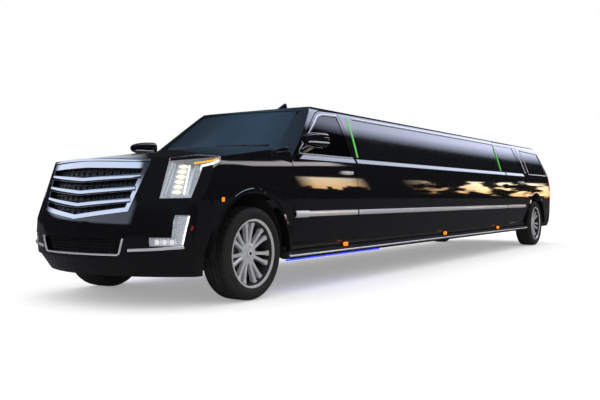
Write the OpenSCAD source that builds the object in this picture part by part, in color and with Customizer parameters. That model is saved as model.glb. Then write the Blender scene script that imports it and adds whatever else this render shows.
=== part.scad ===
// Stretched sport utility limousine: long body on a ladder frame, four hinged doors,
// hood, tailgate, steered front wheels. X points forward, Y left, Z up, ground at Z = 0.

/* [Overall] */
// Distance between the front and rear axles
wheelbase = 8530; // [7800:10:9400]
// Front axle to the foremost point of the nose
front_overhang = 1110; // [1080:5:1150]
// Rear axle to the rearmost point of the bumper
rear_overhang = 1170; // [1120:5:1300]
// Half width of the flank at its widest
half_width = 1012; // [985:1:1040]
// Roof height at the centre line
roof_height = 1890; // [1850:5:1960]
// Height of the sill's lower edge
sill_z = 440; // [410:5:470]
// Height of the belt line under the side windows
belt_z = 1300; // [1270:5:1320]

/* [Flank section] */
// Radius of the bowed lower flank
flank_r = 2200; // [1800:50:3200]
// Height at which the flank is widest
flank_z = 880; // [820:10:940]
// Radius of the bowed window band
green_r = 4000; // [3000:100:8000]
// Lean of the window band, measured from the belt to window_top_z
tumble = 195; // [150:5:230]
// Height of the upper edge of the window band
window_top_z = 1750; // [1730:5:1770]
// Crown radius of the roof across the body
roof_r = 5500; // [4500:100:8000]
// Radius of the rounded edge between roof and side
roof_edge_r = 150; // [135:5:180]
// Half width of the roof skin between its side joints
roof_half = 672; // [650:1:685]

/* [Walls and gaps] */
// Thickness of doors and side walls
wall = 110; // [95:1:125]
// Depth of the outer layer of a door that overlaps the jamb
door_lip = 20; // [16:1:26]
// Width of the jamb flange that a closed door rests on
jamb = 22; // [16:1:28]
// Open gap around doors, hood and tailgate
shut_gap = 9.5; // [8:0.5:12]
// Clearance between a closed lid or door and its rest
rest_gap = 0.3; // [0.2:0.1:0.6]
// Joint line between fixed panels
seam = 0.8; // [0.5:0.1:0.9]
// Thickness of roof, fender and fascia skins
skin = 40; // [30:1:50]
// Thickness of the hood panel
hood_t = 26; // [20:1:34]
// Thickness of the glass
glass_t = 8; // [5:0.5:12]
// Set-back of the glass from the panel surface
glass_in = 6; // [3:0.5:12]

/* [Nose] */
// Plan radius of the nose
nose_r = 1500; // [1400:20:1700]
// Radius of the front corners in plan
corner_r = 450; // [420:5:480]
// Height of the foremost line of the bumper
nose_z = 560; // [520:5:620]
// Set-back of the grille's upper edge from the foremost line
nose_rake = 165; // [140:5:190]
// Height of the hood's leading edge
header_z = 1212; // [1190:2:1230]
// Height of the hood's rear edge at the centre line
cowl_z = 1400; // [1375:5:1420]
// Crown radius of the hood across the body
hood_r = 10000; // [8000:100:14000]
// Half width of the hood
hood_half = 708; // [690:1:725]
// Front axle to the hood's rear edge
hood_rear = 500; // [480:5:520]
// Height of the joint between bumper skin and valance
valance_z = 402; // [380:2:430]
// Height of the valance's lower edge
valance_low = 258; // [240:2:300]

/* [Windshield] */
// Front axle to the foot of the windshield at the centre line
screen_foot = 560; // [540:5:600]
// Front axle to the windshield's upper edge at the centre line
screen_head = 1130; // [1080:5:1180]
// Plan radius of the windshield's foot
screen_r = 2200; // [1800:50:3000]
// Half width of the windshield at its foot
screen_half = 770; // [740:2:790]
// Half width of the windshield at its upper edge
screen_top_half = 640; // [610:2:655]

/* [Wheels] */
// Track width, front and rear
track = 1745; // [1700:1:1780]
// Tyre outside diameter
tyre_d = 815; // [780:1:840]
// Tyre width
tyre_w = 285; // [255:5:300]
// Rim diameter at the flange
rim_d = 596; // [560:2:620]
// Number of spoke pairs
spoke_pairs = 7; // [5:1:9]
// Spindle radius at the wheel bore
spindle_r = 35; // [30:0.5:40]
// Running clearance on radius of spindles and pivots
run_fit = 0.05; // [0.02:0.01:0.10]
// Wheel arch radius
arch_r = 525; // [505:5:545]
// Width of the raised lip around the arch
arch_lip = 50; // [35:1:65]

/* [Chassis] */
// Outer face of the frame rails from the centre line
rail_out = 470; // [440:5:490]
// Width of a frame rail
rail_w = 100; // [80:2:120]
// Lower edge of the frame rails
rail_low = 385; // [360:5:400]
// Upper edge of the frame rails
rail_top = 550; // [530:5:570]
// Thickness of the floor
floor_t = 40; // [30:2:60]
// Number of frame cross members between the axles
cross_count = 5; // [3:1:8]

/* [Hidden] */
$fn = 64;
// Piece to show, or all

big = 4000;
total_l = wheelbase + front_overhang + rear_overhang;
xf = total_l / 2 - front_overhang;
xr = xf - wheelbase;
x_nose = xf + front_overhang;
x_tail = xr - rear_overhang;
wheel_z = tyre_d / 2;
wheel_y = track / 2;
floor_z = rail_top + rest_gap;

// Section geometry: F flank, G window band, R roof and E roof edge, each an arc
flank_c = [half_width - flank_r, flank_z];
function circle_y(c, r, z) = c.x + sqrt(r * r - (z - c.y) * (z - c.y));
function unit(v) = v / norm(v);
function turn(v) = [-v.y, v.x];
function meet(a, ra, b, rb) = let (d = norm(b - a), u = (b - a) / d,
    k = (ra * ra - rb * rb + d * d) / (2 * d)) a + k * u + sqrt(ra * ra - k * k) * turn(u);
belt_p = [circle_y(flank_c, flank_r, belt_z), belt_z];
band_p = [belt_p.x - tumble, window_top_z];
band_d = norm(band_p - belt_p);
green_c = (belt_p + band_p) / 2
    + sqrt(green_r * green_r - band_d * band_d / 4) * turn(unit(band_p - belt_p));
roof_c = [0, roof_height - roof_r];
edge_c = meet(green_c, green_r - roof_edge_r, roof_c, roof_r - roof_edge_r);
function bearing(c, p) = atan2(p.y - c.y, p.x - c.x);
function arc(c, r, a0, a1, n) = [for (i = [0:n]) c + r * [cos(a0 + (a1 - a0) * i / n),
    sin(a0 + (a1 - a0) * i / n)]];
function rev(p) = [for (i = [len(p) - 1:-1:0]) p[i]];
function flip(p) = [for (q = rev(p)) [-q.x, q.y]];
// Half section at depth d below the surface, from the sill up to the roof's centre
function half_section(d, low = sill_z) = let (
    j = meet(flank_c, flank_r - d, green_c, green_r - d),
    lo = [circle_y(flank_c, flank_r - d, low), low])
    concat(
        arc(flank_c, flank_r - d, bearing(flank_c, lo), bearing(flank_c, j), 9),
        arc(green_c, green_r - d, bearing(green_c, j) + 0.4, bearing(green_c, edge_c), 5),
        arc(edge_c, roof_edge_r - d, bearing(green_c, edge_c) + 8, bearing(roof_c, edge_c) - 8, 4),
        arc(roof_c, roof_r - d, bearing(roof_c, edge_c), 90, 7));
function flank_y(z, d = 0) = circle_y(flank_c, flank_r - d, z);
function band_y(z, d = 0) = circle_y(green_c, green_r - d, z);
function skin_y(z, d = 0) = min(flank_y(z, d), band_y(z, d));

// Polygon moved outward by g, for outlines listed counter-clockwise
function grow(p, g) = [for (i = [0:len(p) - 1]) let (
    a = p[(i + len(p) - 1) % len(p)], b = p[i], c = p[(i + 1) % len(p)],
    n = -turn(unit(b - a)), m = -turn(unit(c - b))) b + g * (n + m) / (1 + n * m)];
function shift(p, dx) = [for (q = p) [q.x + dx, q.y]];

// Outline in side view made into a prism across the left half of the body
module side_prism(p, y0 = 300, y1 = 1300) {
    translate([0, y1, 0]) rotate([90, 0, 0]) linear_extrude(y1 - y0) polygon(p);
}
// Outline in front view made into a prism along the body
module front_prism(p, x0, x1) {
    translate([x0, 0, 0]) rotate([90, 0, 90]) linear_extrude(x1 - x0) polygon(p);
}
// Left half of the body wall between depths d0 and d1
module side_wall(d0, d1, x0, x1, low = sill_z) {
    front_prism(concat(half_section(d0, low), rev(half_section(d1, low))), x0, x1);
}
module both() {
    children();
    mirror([0, 1, 0]) children();
}
module hand(side) {
    if (side > 0) children();
    else mirror([0, 1, 0]) children();
}
module y_cylinder(r, y0, y1, x, z) {
    translate([x, y1, z]) rotate([90, 0, 0]) cylinder(r = r, h = y1 - y0, $fn = 96);
}

// Nose: profile of the centre line turned about an upright axis
nose_axis = x_nose - nose_r;
nose_slope = (nose_rake - 10) / (header_z - nose_z - 150);
function nose_profile(d) = [
    [0, valance_low - 60], [nose_r - d - 150, valance_low - 60], [nose_r - d - 18, valance_z],
    [nose_r - d, nose_z], [nose_r - d - 10, nose_z + 150],
    [nose_r - d - nose_rake - nose_slope * 60, header_z + 60],
    [nose_r - d - nose_rake - nose_slope * 60 - 110, header_z + 400], [0, header_z + 400]];
module nose_solid(d) {
    translate([nose_axis, 0, 0]) rotate([0, 0, 180]) rotate_extrude($fn = 480) polygon(nose_profile(d));
}
// Plan outline with rounded front corners
corner_y = half_width - corner_r;
corner_x = nose_axis + sqrt(pow(nose_r - corner_r, 2) - corner_y * corner_y);
corner_a = 42;
function plan_half(d) = concat(
    [[xf - 900, 0], [xf - 900, half_width + 30]],
    [for (i = [0:8]) let (a = 90 - (90 - corner_a) * i / 8)
        [corner_x + (corner_r - d) * cos(a), corner_y + (corner_r - d) * sin(a) + (i == 0 ? 30 : 0)]],
    [[corner_x + (corner_r - d) * cos(corner_a) + 500 * sin(corner_a),
        corner_y + (corner_r - d) * sin(corner_a) - 500 * cos(corner_a)], [x_nose + 300, 0]]);
function inner(p) = [for (i = [1:len(p) - 2]) p[i]];
function across(p) = concat(inner(p), [for (q = rev(inner(p))) [q.x, -q.y]]);
module plan_solid(d) {
    translate([0, 0, 150]) linear_extrude(1500) polygon(rev(across(plan_half(d))));
}
// Space under the hood surface: a broad cylinder laid along the slope of the hood
hood_a = atan((cowl_z - header_z) / (hood_rear + front_overhang - nose_rake));
module hood_solid(d) {
    translate([xf - hood_rear, 0, cowl_z]) rotate([0, hood_a, 0]) translate([-900, 0, -hood_r])
        rotate([0, 90, 0]) cylinder(r = hood_r - d, h = 3200, $fn = 1440);
}
// The whole front body at depth d, or its left half from y = 0
module front_body(d, low = valance_low, left = true) {
    intersection() {
        front_prism(left ? concat([[0, low]], half_section(d, low))
            : concat(half_section(d, low), flip(half_section(d, low))),
            xf - 900, x_nose + 200);
        hood_solid(d);
        plan_solid(d);
        nose_solid(d);
    }
}
// Windshield: a cone about an upright axis, its foot on the cowl
screen_axis = xf - screen_foot - screen_r;
screen_fall = (screen_head - screen_foot) / (roof_height - 50 - cowl_z);
module screen_solid(d) {
    z1 = roof_height + 200;
    z0 = cowl_z - 400;
    translate([screen_axis, 0, z0]) rotate([0, 0, -90]) rotate_extrude(angle = 180, $fn = 1440) polygon([[0, 0],
        [screen_r + 400 * screen_fall - d / cos(atan(screen_fall)), 0],
        [screen_r - (z1 - cowl_z) * screen_fall - d / cos(atan(screen_fall)), z1 - z0], [0, z1 - z0]]);
}
screen_drop = 104;
function screen_outline(g) = grow([[-screen_half, cowl_z - 24], [screen_half, cowl_z - 24],
    [screen_top_half, roof_height - screen_drop], [-screen_top_half, roof_height - screen_drop]], g);
// Space above the roof's fall towards the windshield
roof_cap_r = 8300;
roof_cap_x = xf - 2290;
function roof_fall_z(x, d) = roof_height + 5 - roof_cap_r
    + sqrt(pow(roof_cap_r - d, 2) - pow(x - roof_cap_x, 2));
module above_roof_fall(d) {
    x0 = xf - 2240;
    x1 = xf - 700;
    translate([0, 1300, 0]) rotate([90, 0, 0]) linear_extrude(2600) polygon(concat(
        [for (i = [0:12]) let (x = x0 + (x1 - x0) * i / 12) [x, roof_fall_z(x, d)]],
        [[x1, roof_height + 400], [x0, roof_height + 400]]));
}
// Tail: upright below the belt, raked above it, bowed in plan
tail_r = 4000;
tail_axis = x_tail + tail_r;
gate_low = 645;
gate_x = xr - 770;
gate_t = 60;
gate_top_half = roof_half - shut_gap;
function tail_profile(d) = [[0, 200], [tail_r - 60 - d, 200], [tail_r - 62 - d, 1000],
    [tail_r - 95 - d, belt_z - 140], [tail_r - 300 - d, roof_height - 70],
    [tail_r - 360 - d, roof_height + 130], [0, roof_height + 130]];
module tail_solid(d, p = 0) {
    translate([tail_axis, 0, 0]) rotate([0, 0, 150])
        rotate_extrude(angle = 60, $fn = 480) polygon(p == 0 ? tail_profile(d) : p);
}
tail_corner = 230;
function tail_plan(d) = concat([[xr + 900, 0], [xr + 900, half_width + 30]],
    [for (i = [0:6]) let (a = 90 + 66 * i / 6)
        [x_tail + 40 + tail_corner + (tail_corner - d) * cos(a),
        half_width - tail_corner + (tail_corner - d) * sin(a) + (i == 0 ? 30 : 0)]],
    [[x_tail - 60, half_width - tail_corner - 150], [x_tail - 200, 0]]);
module tail_space(d) {
    intersection() {
        tail_solid(d);
        translate([0, 0, 150]) linear_extrude(2000)
            polygon(across(tail_plan(d)));
    }
}
module behind_tail(d) {
    difference() {
        translate([x_tail - 100, -1300, 160]) cube([700, 2600, 1960]);
        tail_space(d);
    }
}
module ahead_of_screen(d) {
    difference() {
        translate([xf - 1500, -1200, belt_z - 150]) cube([1700, 2400, 900]);
        screen_solid(d);
    }
}
function gate_outline(g) = grow([[-735, gate_low], [735, gate_low], [735, belt_z],
    [gate_top_half, roof_height - 70], [gate_top_half, roof_height + 60],
    [-gate_top_half, roof_height + 60], [-gate_top_half, roof_height - 70], [-735, belt_z]], g);
function rear_glass_outline(g) = grow([[-655, belt_z - 95], [655, belt_z - 95],
    [575, roof_height - 140], [-575, roof_height - 140]], g);

// Outlines in side view, counter-clockwise, x from the nearer axle
door_low = sill_z + 25;
door_top = window_top_z + 60;
glass_low = belt_z + 25;
glass_top = window_top_z + 14;
front_door_out = shift([[-1810, door_low], [-610, door_low], [-610, belt_z - 60], [-650, belt_z - 5],
    [-1335, window_top_z + 15], [-1440, window_top_z + 47], [-1810, door_top]], xf);
rear_door_out = shift([[665, door_low], [1670, door_low], [1670, door_top], [665, door_top]], xr);
front_glass_out = shift([[-1762, glass_low], [-790, glass_low], [-1352, window_top_z - 28],
    [-1446, window_top_z], [-1762, glass_top]], xf);
rear_glass_out = shift([[715, glass_low], [1622, glass_low], [1622, glass_top], [715, glass_top]], xr);
long_glass_out = [[xr + 1868, glass_low], [xf - 1950, glass_low], [xf - 2105, glass_top],
    [xr + 1722, glass_top]];
quarter_out = shift([[-850, belt_z + 12], [330, belt_z + 12], [300, glass_top - 30],
    [-770, glass_top - 50]], xr);
// Upright door hinge axes
hinge_in = 26;
hinge_back = 90;
hinge_y = half_width - hinge_in;
front_hinge_x = xf - 610 - hinge_back;
rear_hinge_x = xr + 1670 - hinge_back;

// Opening in the side wall for a door: outer layer, jamb and free swing at the hinge
module door_opening(out, hinge_x, swing_back, swing_top) {
    intersection() {
        side_prism(grow(out, shut_gap));
        side_wall(-25, door_lip + rest_gap, xr - 1200, xf - 400, sill_z - 5);
    }
    side_prism(grow(out, -jamb));
    intersection() {
        side_prism(grow(out, shut_gap));
        translate([hinge_x - swing_back, 0, 0]) cube([400 + swing_back, 1400, swing_top]);
    }
}
module window_opening(out) {
    side_prism(grow(out, 0.5));
}
module arch_cut(x, r = arch_r) {
    y_cylinder(r, 300, 1300, x, wheel_z);
}
// Raised lip around a wheel arch, its face sloping in towards the opening
module arch_flare(x) {
    difference() {
        translate([x, 0, wheel_z]) rotate([-90, 0, 0]) rotate_extrude($fn = 120) polygon([
            [arch_r, half_width - 75], [arch_r + arch_lip, half_width - 75],
            [arch_r + arch_lip, half_width - 12], [arch_r + arch_lip - 12, half_width + 4],
            [arch_r + 10, half_width + 10], [arch_r, half_width + 2]]);
        translate([x - 800, 0, -600]) cube([1600, 1300, 600 + valance_z]);
    }
}
bumper_top = gate_low - 10;
rear_bumper_out = [[x_tail - 200, 330], [xr - 480, 330], [xr - 480, bumper_top], [x_tail - 200, bumper_top]];
module outboard(y) {
    translate([-total_l, y, 0]) cube([2 * total_l, 1300, 3000]);
}
module body_side(side) hand(side) {
    difference() {
        intersection() {
            union() {
                side_wall(0, wall, x_tail, xf - 610 + shut_gap);
                side_wall(0, 262, x_tail, x_tail + 260);
                side_wall(0, 175, xf - 1500, xf - 610 + shut_gap, belt_z - 20);
            }
            outboard(roof_half + seam / 2);
        }
        ahead_of_screen(0);
        above_roof_fall(0);
        behind_tail(0);
        front_prism(screen_outline(0.5), xf - 1600, xf - 300);
        door_opening(front_door_out, front_hinge_x, 60, belt_z + 120);
        door_opening(rear_door_out, rear_hinge_x, 150, door_top + 20);
        window_opening(long_glass_out);
        window_opening(quarter_out);
        arch_cut(xr, arch_r + 1);
        side_prism(grow(rear_bumper_out, seam));
        difference() {
            front_prism(gate_outline(shut_gap), x_tail - 100, gate_x + shut_gap);
            tail_space(gate_t + rest_gap);
        }
        front_prism(gate_outline(-jamb), x_tail - 100, x_tail + 500);
        difference() {
            front_prism(tail_lamp_out(0.5), x_tail - 50, x_tail + lamp_wrap + 0.5);
            tail_space(lamp_t + 0.5);
        }
    }
    arch_flare(xr);
    moulding(xr + 1692, xf - 1832);
}
module roof_panel() {
    intersection() {
        difference() {
            front_prism(concat(half_section(0), flip(half_section(0))), gate_x + shut_gap, xf - 900);
            above_roof_fall(0);
            difference() {
                front_prism(concat(half_section(skin), flip(half_section(skin))), gate_x - 100, xf - 800);
                above_roof_fall(skin);
            }
            ahead_of_screen(0);
            front_prism(screen_outline(0.5), xf - 1600, xf - 300);
        }
        translate([-total_l, -roof_half + seam / 2, roof_height - 250]) cube([2 * total_l, 2 * roof_half - seam, 600]);
    }
    roof_fin();
    roof_vent();
}
// Aerial fin: side outline narrowed towards its upper edge
fin_x = xf - 1720;
module roof_fin() {
    intersection() {
        translate([0, 40, 0]) rotate([90, 0, 0]) linear_extrude(80) polygon(
            [[fin_x - 210, roof_height - 14], [fin_x, roof_height - 14], [fin_x - 60, roof_height + 16],
            [fin_x - 135, roof_height + 62], [fin_x - 175, roof_height + 66], [fin_x - 200, roof_height + 20]]);
        front_prism([[-34, roof_height - 14], [34, roof_height - 14], [20, roof_height + 10], [5, roof_height + 70],
            [-5, roof_height + 70], [-20, roof_height + 10]], fin_x - 300, fin_x + 50);
    }
}
// Low air vent on the rear of the roof
vent_x = xr + 2050;
module roof_vent() {
    intersection() {
        translate([0, 190, 0]) rotate([90, 0, 0]) linear_extrude(380) polygon(
            [[vent_x - 210, roof_height - 14], [vent_x + 210, roof_height - 14], [vent_x + 180, roof_height + 22],
            [vent_x + 90, roof_height + 48], [vent_x - 120, roof_height + 48], [vent_x - 190, roof_height + 22]]);
        front_prism([[-190, roof_height - 14], [190, roof_height - 14], [176, roof_height + 25], [140, roof_height + 60],
            [-140, roof_height + 60], [-176, roof_height + 25]], vent_x - 300, vent_x + 300);
    }
}

module windshield() {
    intersection() {
        difference() {
            screen_solid(glass_in);
            screen_solid(glass_in + glass_t);
        }
        front_prism(screen_outline(0), xf - 1500, xf - 300);
    }
}
module side_pane(side, out) hand(side) {
    intersection() {
        side_wall(glass_in, glass_in + glass_t, xr - 1200, xf - 500, belt_z - 100);
        side_prism(out);
    }
}

// Front panels
lamp_in = hood_half + shut_gap;
fascia_top = 868;
bumper_out = shift([[440, valance_z], [1500, valance_z], [1500, fascia_top], [800, fascia_top],
    [600, 812], [440, 800]], xf);
headlamp_out = shift([[708, 892], [1500, fascia_top], [1500, 1400], [400, 1400], [430, 1186], [590, 1138]], xf);
function grille_out(g) = grow([[-510, 784], [0, 720], [510, 784], [590, 1176], [0, 1194], [-590, 1176]], g);
function intake_out(g) = grow([[-440, 440], [440, 440], [485, 562], [-485, 562]], g);
function fog_out(g) = grow([[690, 512], [906, 512], [940, 756], [850, 756], [842, 580], [690, 580]], g);
module front_shell(d0, d1, low = valance_low, left = true) {
    difference() {
        front_body(d0, low, left);
        front_body(d1, low - 20, left);
    }
}
// Room that the hood takes, above its rests on the fenders
module hood_room() {
    difference() {
        intersection() {
            nose_solid(55 - shut_gap);
            translate([xf - 1000, -1, 900]) cube([3000, hood_half + shut_gap + 1, 700]);
        }
        hood_solid(hood_t + rest_gap);
    }
    intersection() {
        nose_solid(55 - shut_gap);
        translate([xf - 1000, -1, 900]) cube([3000, hood_half - jamb + 1, 700]);
    }
}
module fender(side) hand(side) {
    difference() {
        front_shell(0, skin, sill_z);
        translate([xf - 2000, -10, 0]) cube([2000 - 610 + shut_gap + seam, 1300, 2000]);
        side_prism(grow(bumper_out, seam), -10);
        intersection() {
            side_prism(grow(headlamp_out, seam), -10);
            outboard(lamp_in - 2);
        }
        translate([xf + 300, -10, 0]) cube([1200, lamp_in + 10, fascia_top + 150]);
        difference() {
            translate([xf + 300, -10, 0]) cube([1200, lamp_in + 10, 2000]);
            nose_solid(62);
        }
        hood_room();
        arch_cut(xf, arch_r + 1);
    }
    arch_flare(xf);
}
module front_bumper() {
    difference() {
        union() {
            intersection() {
                front_shell(0, skin + 20, valance_low, false);
                side_prism(bumper_out, -1300);
            }
            intersection() {
                front_shell(0, skin, valance_z, false);
                translate([xf + 300, -lamp_in, fascia_top - 5]) cube([1200, 2 * lamp_in, 800]);
                difference() {
                    translate([xf, -1200, 0]) cube([2000, 2400, 2000]);
                    nose_solid(skin);
                }
            }
            // Lower valance, set back under the bumper
            intersection() {
                front_shell(14, 70, valance_low, false);
                translate([xf + 440, -1300, 0]) cube([1200, 2600, valance_z + 2]);
            }
        }
        both() {
            hood_room();
            arch_cut(xf, arch_r + arch_lip + seam);
            front_prism(fog_out(0.5), xf + 600, x_nose + 300);
        }
        front_prism(grille_out(0.5), xf, x_nose + 300);
        front_prism(intake_out(0.5), xf, x_nose + 300);
        // Plate bracket holes
        for (y = [-plate_dx / 2, plate_dx / 2], z = [plate_z - plate_dz / 2, plate_z + plate_dz / 2])
            translate([xf + 800, y, z]) rotate([0, 90, 0]) cylinder(r = plate_hole_r, h = 600, $fn = 32);
    }
}
plate_dx = 240;
plate_dz = 100;
plate_z = 628;
plate_hole_r = 5;
module headlamp(side) hand(side) {
    intersection() {
        front_shell(2, 105, 600);
        side_prism(headlamp_out, 0);
        outboard(lamp_in);
    }
}
module fog_lamp(side) hand(side) {
    intersection() {
        front_shell(4, 58, 400);
        front_prism(fog_out(0), xf + 600, x_nose + 300);
    }
}
// Grille bars: columns are height at the ends, dip at the centre, half width, thickness
grille_bars = [[1066, 30, 548, 30], [968, 38, 528, 30], [874, 46, 509, 30]];
header_low = 1142;
module grille() {
    intersection() {
        difference() {
            nose_solid(-6);
            nose_solid(44);
        }
        union() {
            difference() {
                front_prism(grille_out(0), xf, x_nose + 300);
                front_prism(grille_out(-34), xf - 10, x_nose + 310);
            }
            front_prism([[-573, header_low - 14], [0, header_low], [573, header_low - 14], [590, 1176],
                [0, 1194], [-590, 1176]], xf, x_nose + 300);
            for (b = grille_bars) front_prism([[-b[2], b[0] - b[3] / 2], [0, b[0] - b[1] - b[3] / 2],
                [b[2], b[0] - b[3] / 2], [b[2], b[0] + b[3] / 2], [0, b[0] - b[1] + b[3] / 2],
                [-b[2], b[0] + b[3] / 2]], xf, x_nose + 300);
        }
    }
}
// Mesh: columns are pitch across, pitch up, lowest rail, upright count to a side, rail count
mesh_fin = 5;
mesh_relief = 6;
grille_mesh_rows = [80, 80, 785, 7, 5];
intake_mesh_rows = [65, 40, 480, 7, 2];
module mesh_fins(rows) {
    for (i = [-rows[3]:rows[3]]) translate([xf, i * rows[0] - mesh_fin / 2, 400]) cube([1400, mesh_fin, 800]);
    for (i = [0:rows[4] - 1]) translate([xf, -700, rows[2] + i * rows[1]]) cube([1400, 1400, mesh_fin]);
}
module grille_mesh() {
    intersection() {
        difference() {
            nose_solid(44.5 + mesh_relief);
            nose_solid(58);
        }
        union() {
            front_prism(grille_out(-2), xf, x_nose + 300);
            front_prism(intake_out(0), xf, x_nose + 300);
        }
    }
    intersection() {
        difference() {
            nose_solid(44.5);
            nose_solid(45.5 + mesh_relief);
        }
        front_prism(grille_out(-3), xf, x_nose + 300);
        mesh_fins(grille_mesh_rows);
    }
    intersection() {
        difference() {
            nose_solid(44.5);
            nose_solid(45.5 + mesh_relief);
        }
        front_prism(intake_out(-1), xf, x_nose + 300);
        mesh_fins(intake_mesh_rows);
    }
}
// Hood in plan: its front edge runs round the nose axis
hood_nose_r = nose_r - nose_rake - 58;
hood_nose_a = asin(hood_half / hood_nose_r);
hood_plan = concat(
    [[xf - hood_rear - 100, -hood_half]],
    [for (i = [-20:20]) let (a = hood_nose_a * i / 20)
        [nose_axis + hood_nose_r * cos(a), hood_nose_r * sin(a)]],
    [[xf - hood_rear - 100, hood_half]]);
// Hood sheet across the body: its crown in even steps
hood_steps = 20;
function hood_arc(d) = [for (i = [-hood_steps:hood_steps]) let (y = hood_half * i / hood_steps)
    [y, sqrt(pow(hood_r - d, 2) - y * y) - hood_r]];
module hood() {
    intersection() {
        translate([xf - hood_rear, 0, cowl_z]) rotate([0, hood_a, 0]) translate([2, 0, 0]) rotate([90, 0, 90])
            linear_extrude(1800) polygon(concat(hood_arc(0), rev(hood_arc(hood_t))));
        translate([0, 0, 1000]) linear_extrude(800) polygon(hood_plan);
    }
}
// Plenum between hood and windshield: its plan follows the foot of the glass
cowl_half = hood_half - jamb - 2;
cowl_in = 36;
module cowl_panel() {
    intersection() {
        translate([0, 0, cowl_low]) linear_extrude(400) polygon(concat(
            [for (i = [-8:8]) let (y = cowl_half * i / 8)
                [screen_axis + sqrt(pow(screen_r + cowl_in, 2) - y * y), y]],
            [[xf - hood_rear - shut_gap, cowl_half], [xf - hood_rear - shut_gap, -cowl_half]]));
        translate([xf - hood_rear, 0, cowl_z]) rotate([0, hood_a, 0]) front_prism(concat(
            [for (i = [12:-1:-12]) let (y = 70 * i) [y, sqrt(hood_r * hood_r - y * y) - hood_r - 6]],
            [[-840, -400], [840, -400]]), -400, 200);
    }
}
cowl_low = cowl_z - 100;

// Doors: an outer layer that overlaps the jamb and a smaller inner layer below the glass
module door(side, out, pane) hand(side) {
    difference() {
        union() {
            intersection() {
                side_wall(0, door_lip, xr - 1200, xf - 500);
                side_prism(out);
            }
            intersection() {
                side_wall(door_lip - 1, wall, xr - 1200, xf - 500);
                side_prism(grow(out, -2 * jamb - 2));
                translate([-total_l, 0, 0]) cube([2 * total_l, 1400, glass_low - 4]);
            }
        }
        window_opening(pane);
        ahead_of_screen(0);
    }
    door_moulding(out);
    door_handle(out);
}
// Bright moulding along the lower flank
moulding_z = 735;
moulding_h = 56;
moulding_t = 10;
module moulding(x0, x1, d = 0) {
    difference() {
        front_prism(concat(
            [for (i = [0:4]) let (z = moulding_z - moulding_h / 2 + moulding_h * i / 4)
                [flank_y(z) + moulding_t * sin(30 + 30 * i), z]],
            [for (i = [4:-1:0]) let (z = moulding_z - moulding_h / 2 + moulding_h * i / 4)
                [flank_y(z) - 2, z]]), x0, x1);
    }
}
module door_moulding(out) {
    moulding(out[0].x + 6, out[1].x - 16);
}
handle_z = 1150;
handle_l = 190;
handle_from_edge = 130;
module door_handle(out) {
    x = out[0].x + handle_from_edge;
    y = flank_y(handle_z);
    translate([x, y - 6, handle_z]) rotate([0, 90, 0]) rotate([0, 0, 90]) linear_extrude(handle_l)
        polygon([[0, -20], [34, -14], [40, 0], [34, 12], [0, 18]]);
}
mirror_x = xf - 720;
module mirror_unit(side) hand(side) {
    intersection() {
        front_prism([[1040, 1392], [1060, 1362], [1190, 1372], [1232, 1410], [1225, 1490], [1190, 1512],
            [1070, 1508], [1042, 1480]], mirror_x - 180, mirror_x + 160);
        translate([0, 1300, 0]) rotate([90, 0, 0]) linear_extrude(400) polygon([[mirror_x - 150, 1362],
            [mirror_x + 60, 1362], [mirror_x + 140, 1410], [mirror_x + 140, 1460], [mirror_x + 70, 1512],
            [mirror_x - 150, 1512]]);
    }
    front_prism([[skin_y(1318) + 0.5, 1318], [1075, 1366], [1075, 1400], [skin_y(1352) + 0.5, 1352]],
        mirror_x - 140, mirror_x - 40);
}
module tailgate() {
    difference() {
        union() {
            intersection() {
                difference() {
                    tail_space(0);
                    tail_space(gate_t);
                }
                front_prism(gate_outline(0), x_tail - 100, gate_x);
                front_prism(concat(half_section(0), flip(half_section(0))), x_tail - 100, gate_x);
            }
            // Spoiler carrying the roof's surface past the rear glass
            intersection() {
                difference() {
                    front_prism(concat(half_section(0), flip(half_section(0))), x_tail + 215, gate_x);
                    front_prism(concat(half_section(skin), flip(half_section(skin))), x_tail, gate_x + 100);
                }
                front_prism(grow([[-gate_top_half, roof_height - 120], [gate_top_half, roof_height - 120],
                    [gate_top_half, roof_height + 60], [-gate_top_half, roof_height + 60]], 0),
                    x_tail - 100, gate_x);
            }
        }
        front_prism(rear_glass_outline(0.5), x_tail - 100, x_tail + 430);
    }
}
module tailgate_glass() {
    intersection() {
        difference() {
            tail_space(glass_in);
            tail_space(glass_in + glass_t);
        }
        front_prism(rear_glass_outline(0), x_tail - 100, x_tail + 400);
    }
}
// Tall tail lamps on the rear corners
lamp_t = 58;
lamp_wrap = 295;
function tail_lamp_out(g) = grow([[775, 720], [1100, 720], [1100, 1180], [1000, 1640], [715, 1640], [762, belt_z]], g);
module tail_lamp(side) hand(side) {
    intersection() {
        front_prism(tail_lamp_out(0), x_tail - 50, x_tail + lamp_wrap);
        difference() {
            tail_space(-2);
            tail_space(lamp_t);
        }
        front_prism(concat([[0, sill_z]], half_section(-2)), x_tail - 50, x_tail + 420);
    }
}
module rear_bumper_solid(d, low) {
    intersection() {
        tail_solid(d, [[0, low], [tail_r - 70 - d, low], [tail_r - 4 - d, 430], [tail_r - d, 520],
            [tail_r - 14 - d, 620], [tail_r - 40 - d, bumper_top], [0, bumper_top]]);
        front_prism(concat(half_section(d, low), flip(half_section(d, low))), x_tail - 20, xr - 400);
        translate([0, 0, 150]) linear_extrude(900) polygon(across(tail_plan(d)));
    }
}
module rear_bumper() {
    difference() {
        rear_bumper_solid(0, 330);
        translate([0, 0, -20]) rear_bumper_solid(bumper_t, 330);
        translate([xr - 480, -1200, 0]) cube([900, 2400, 1000]);
        both() arch_cut(xr, arch_r + arch_lip + seam);
        translate([x_tail - 100, -60, 0]) cube([600, 120, rail_low + 140]);
    }
}
bumper_t = 60;
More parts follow.
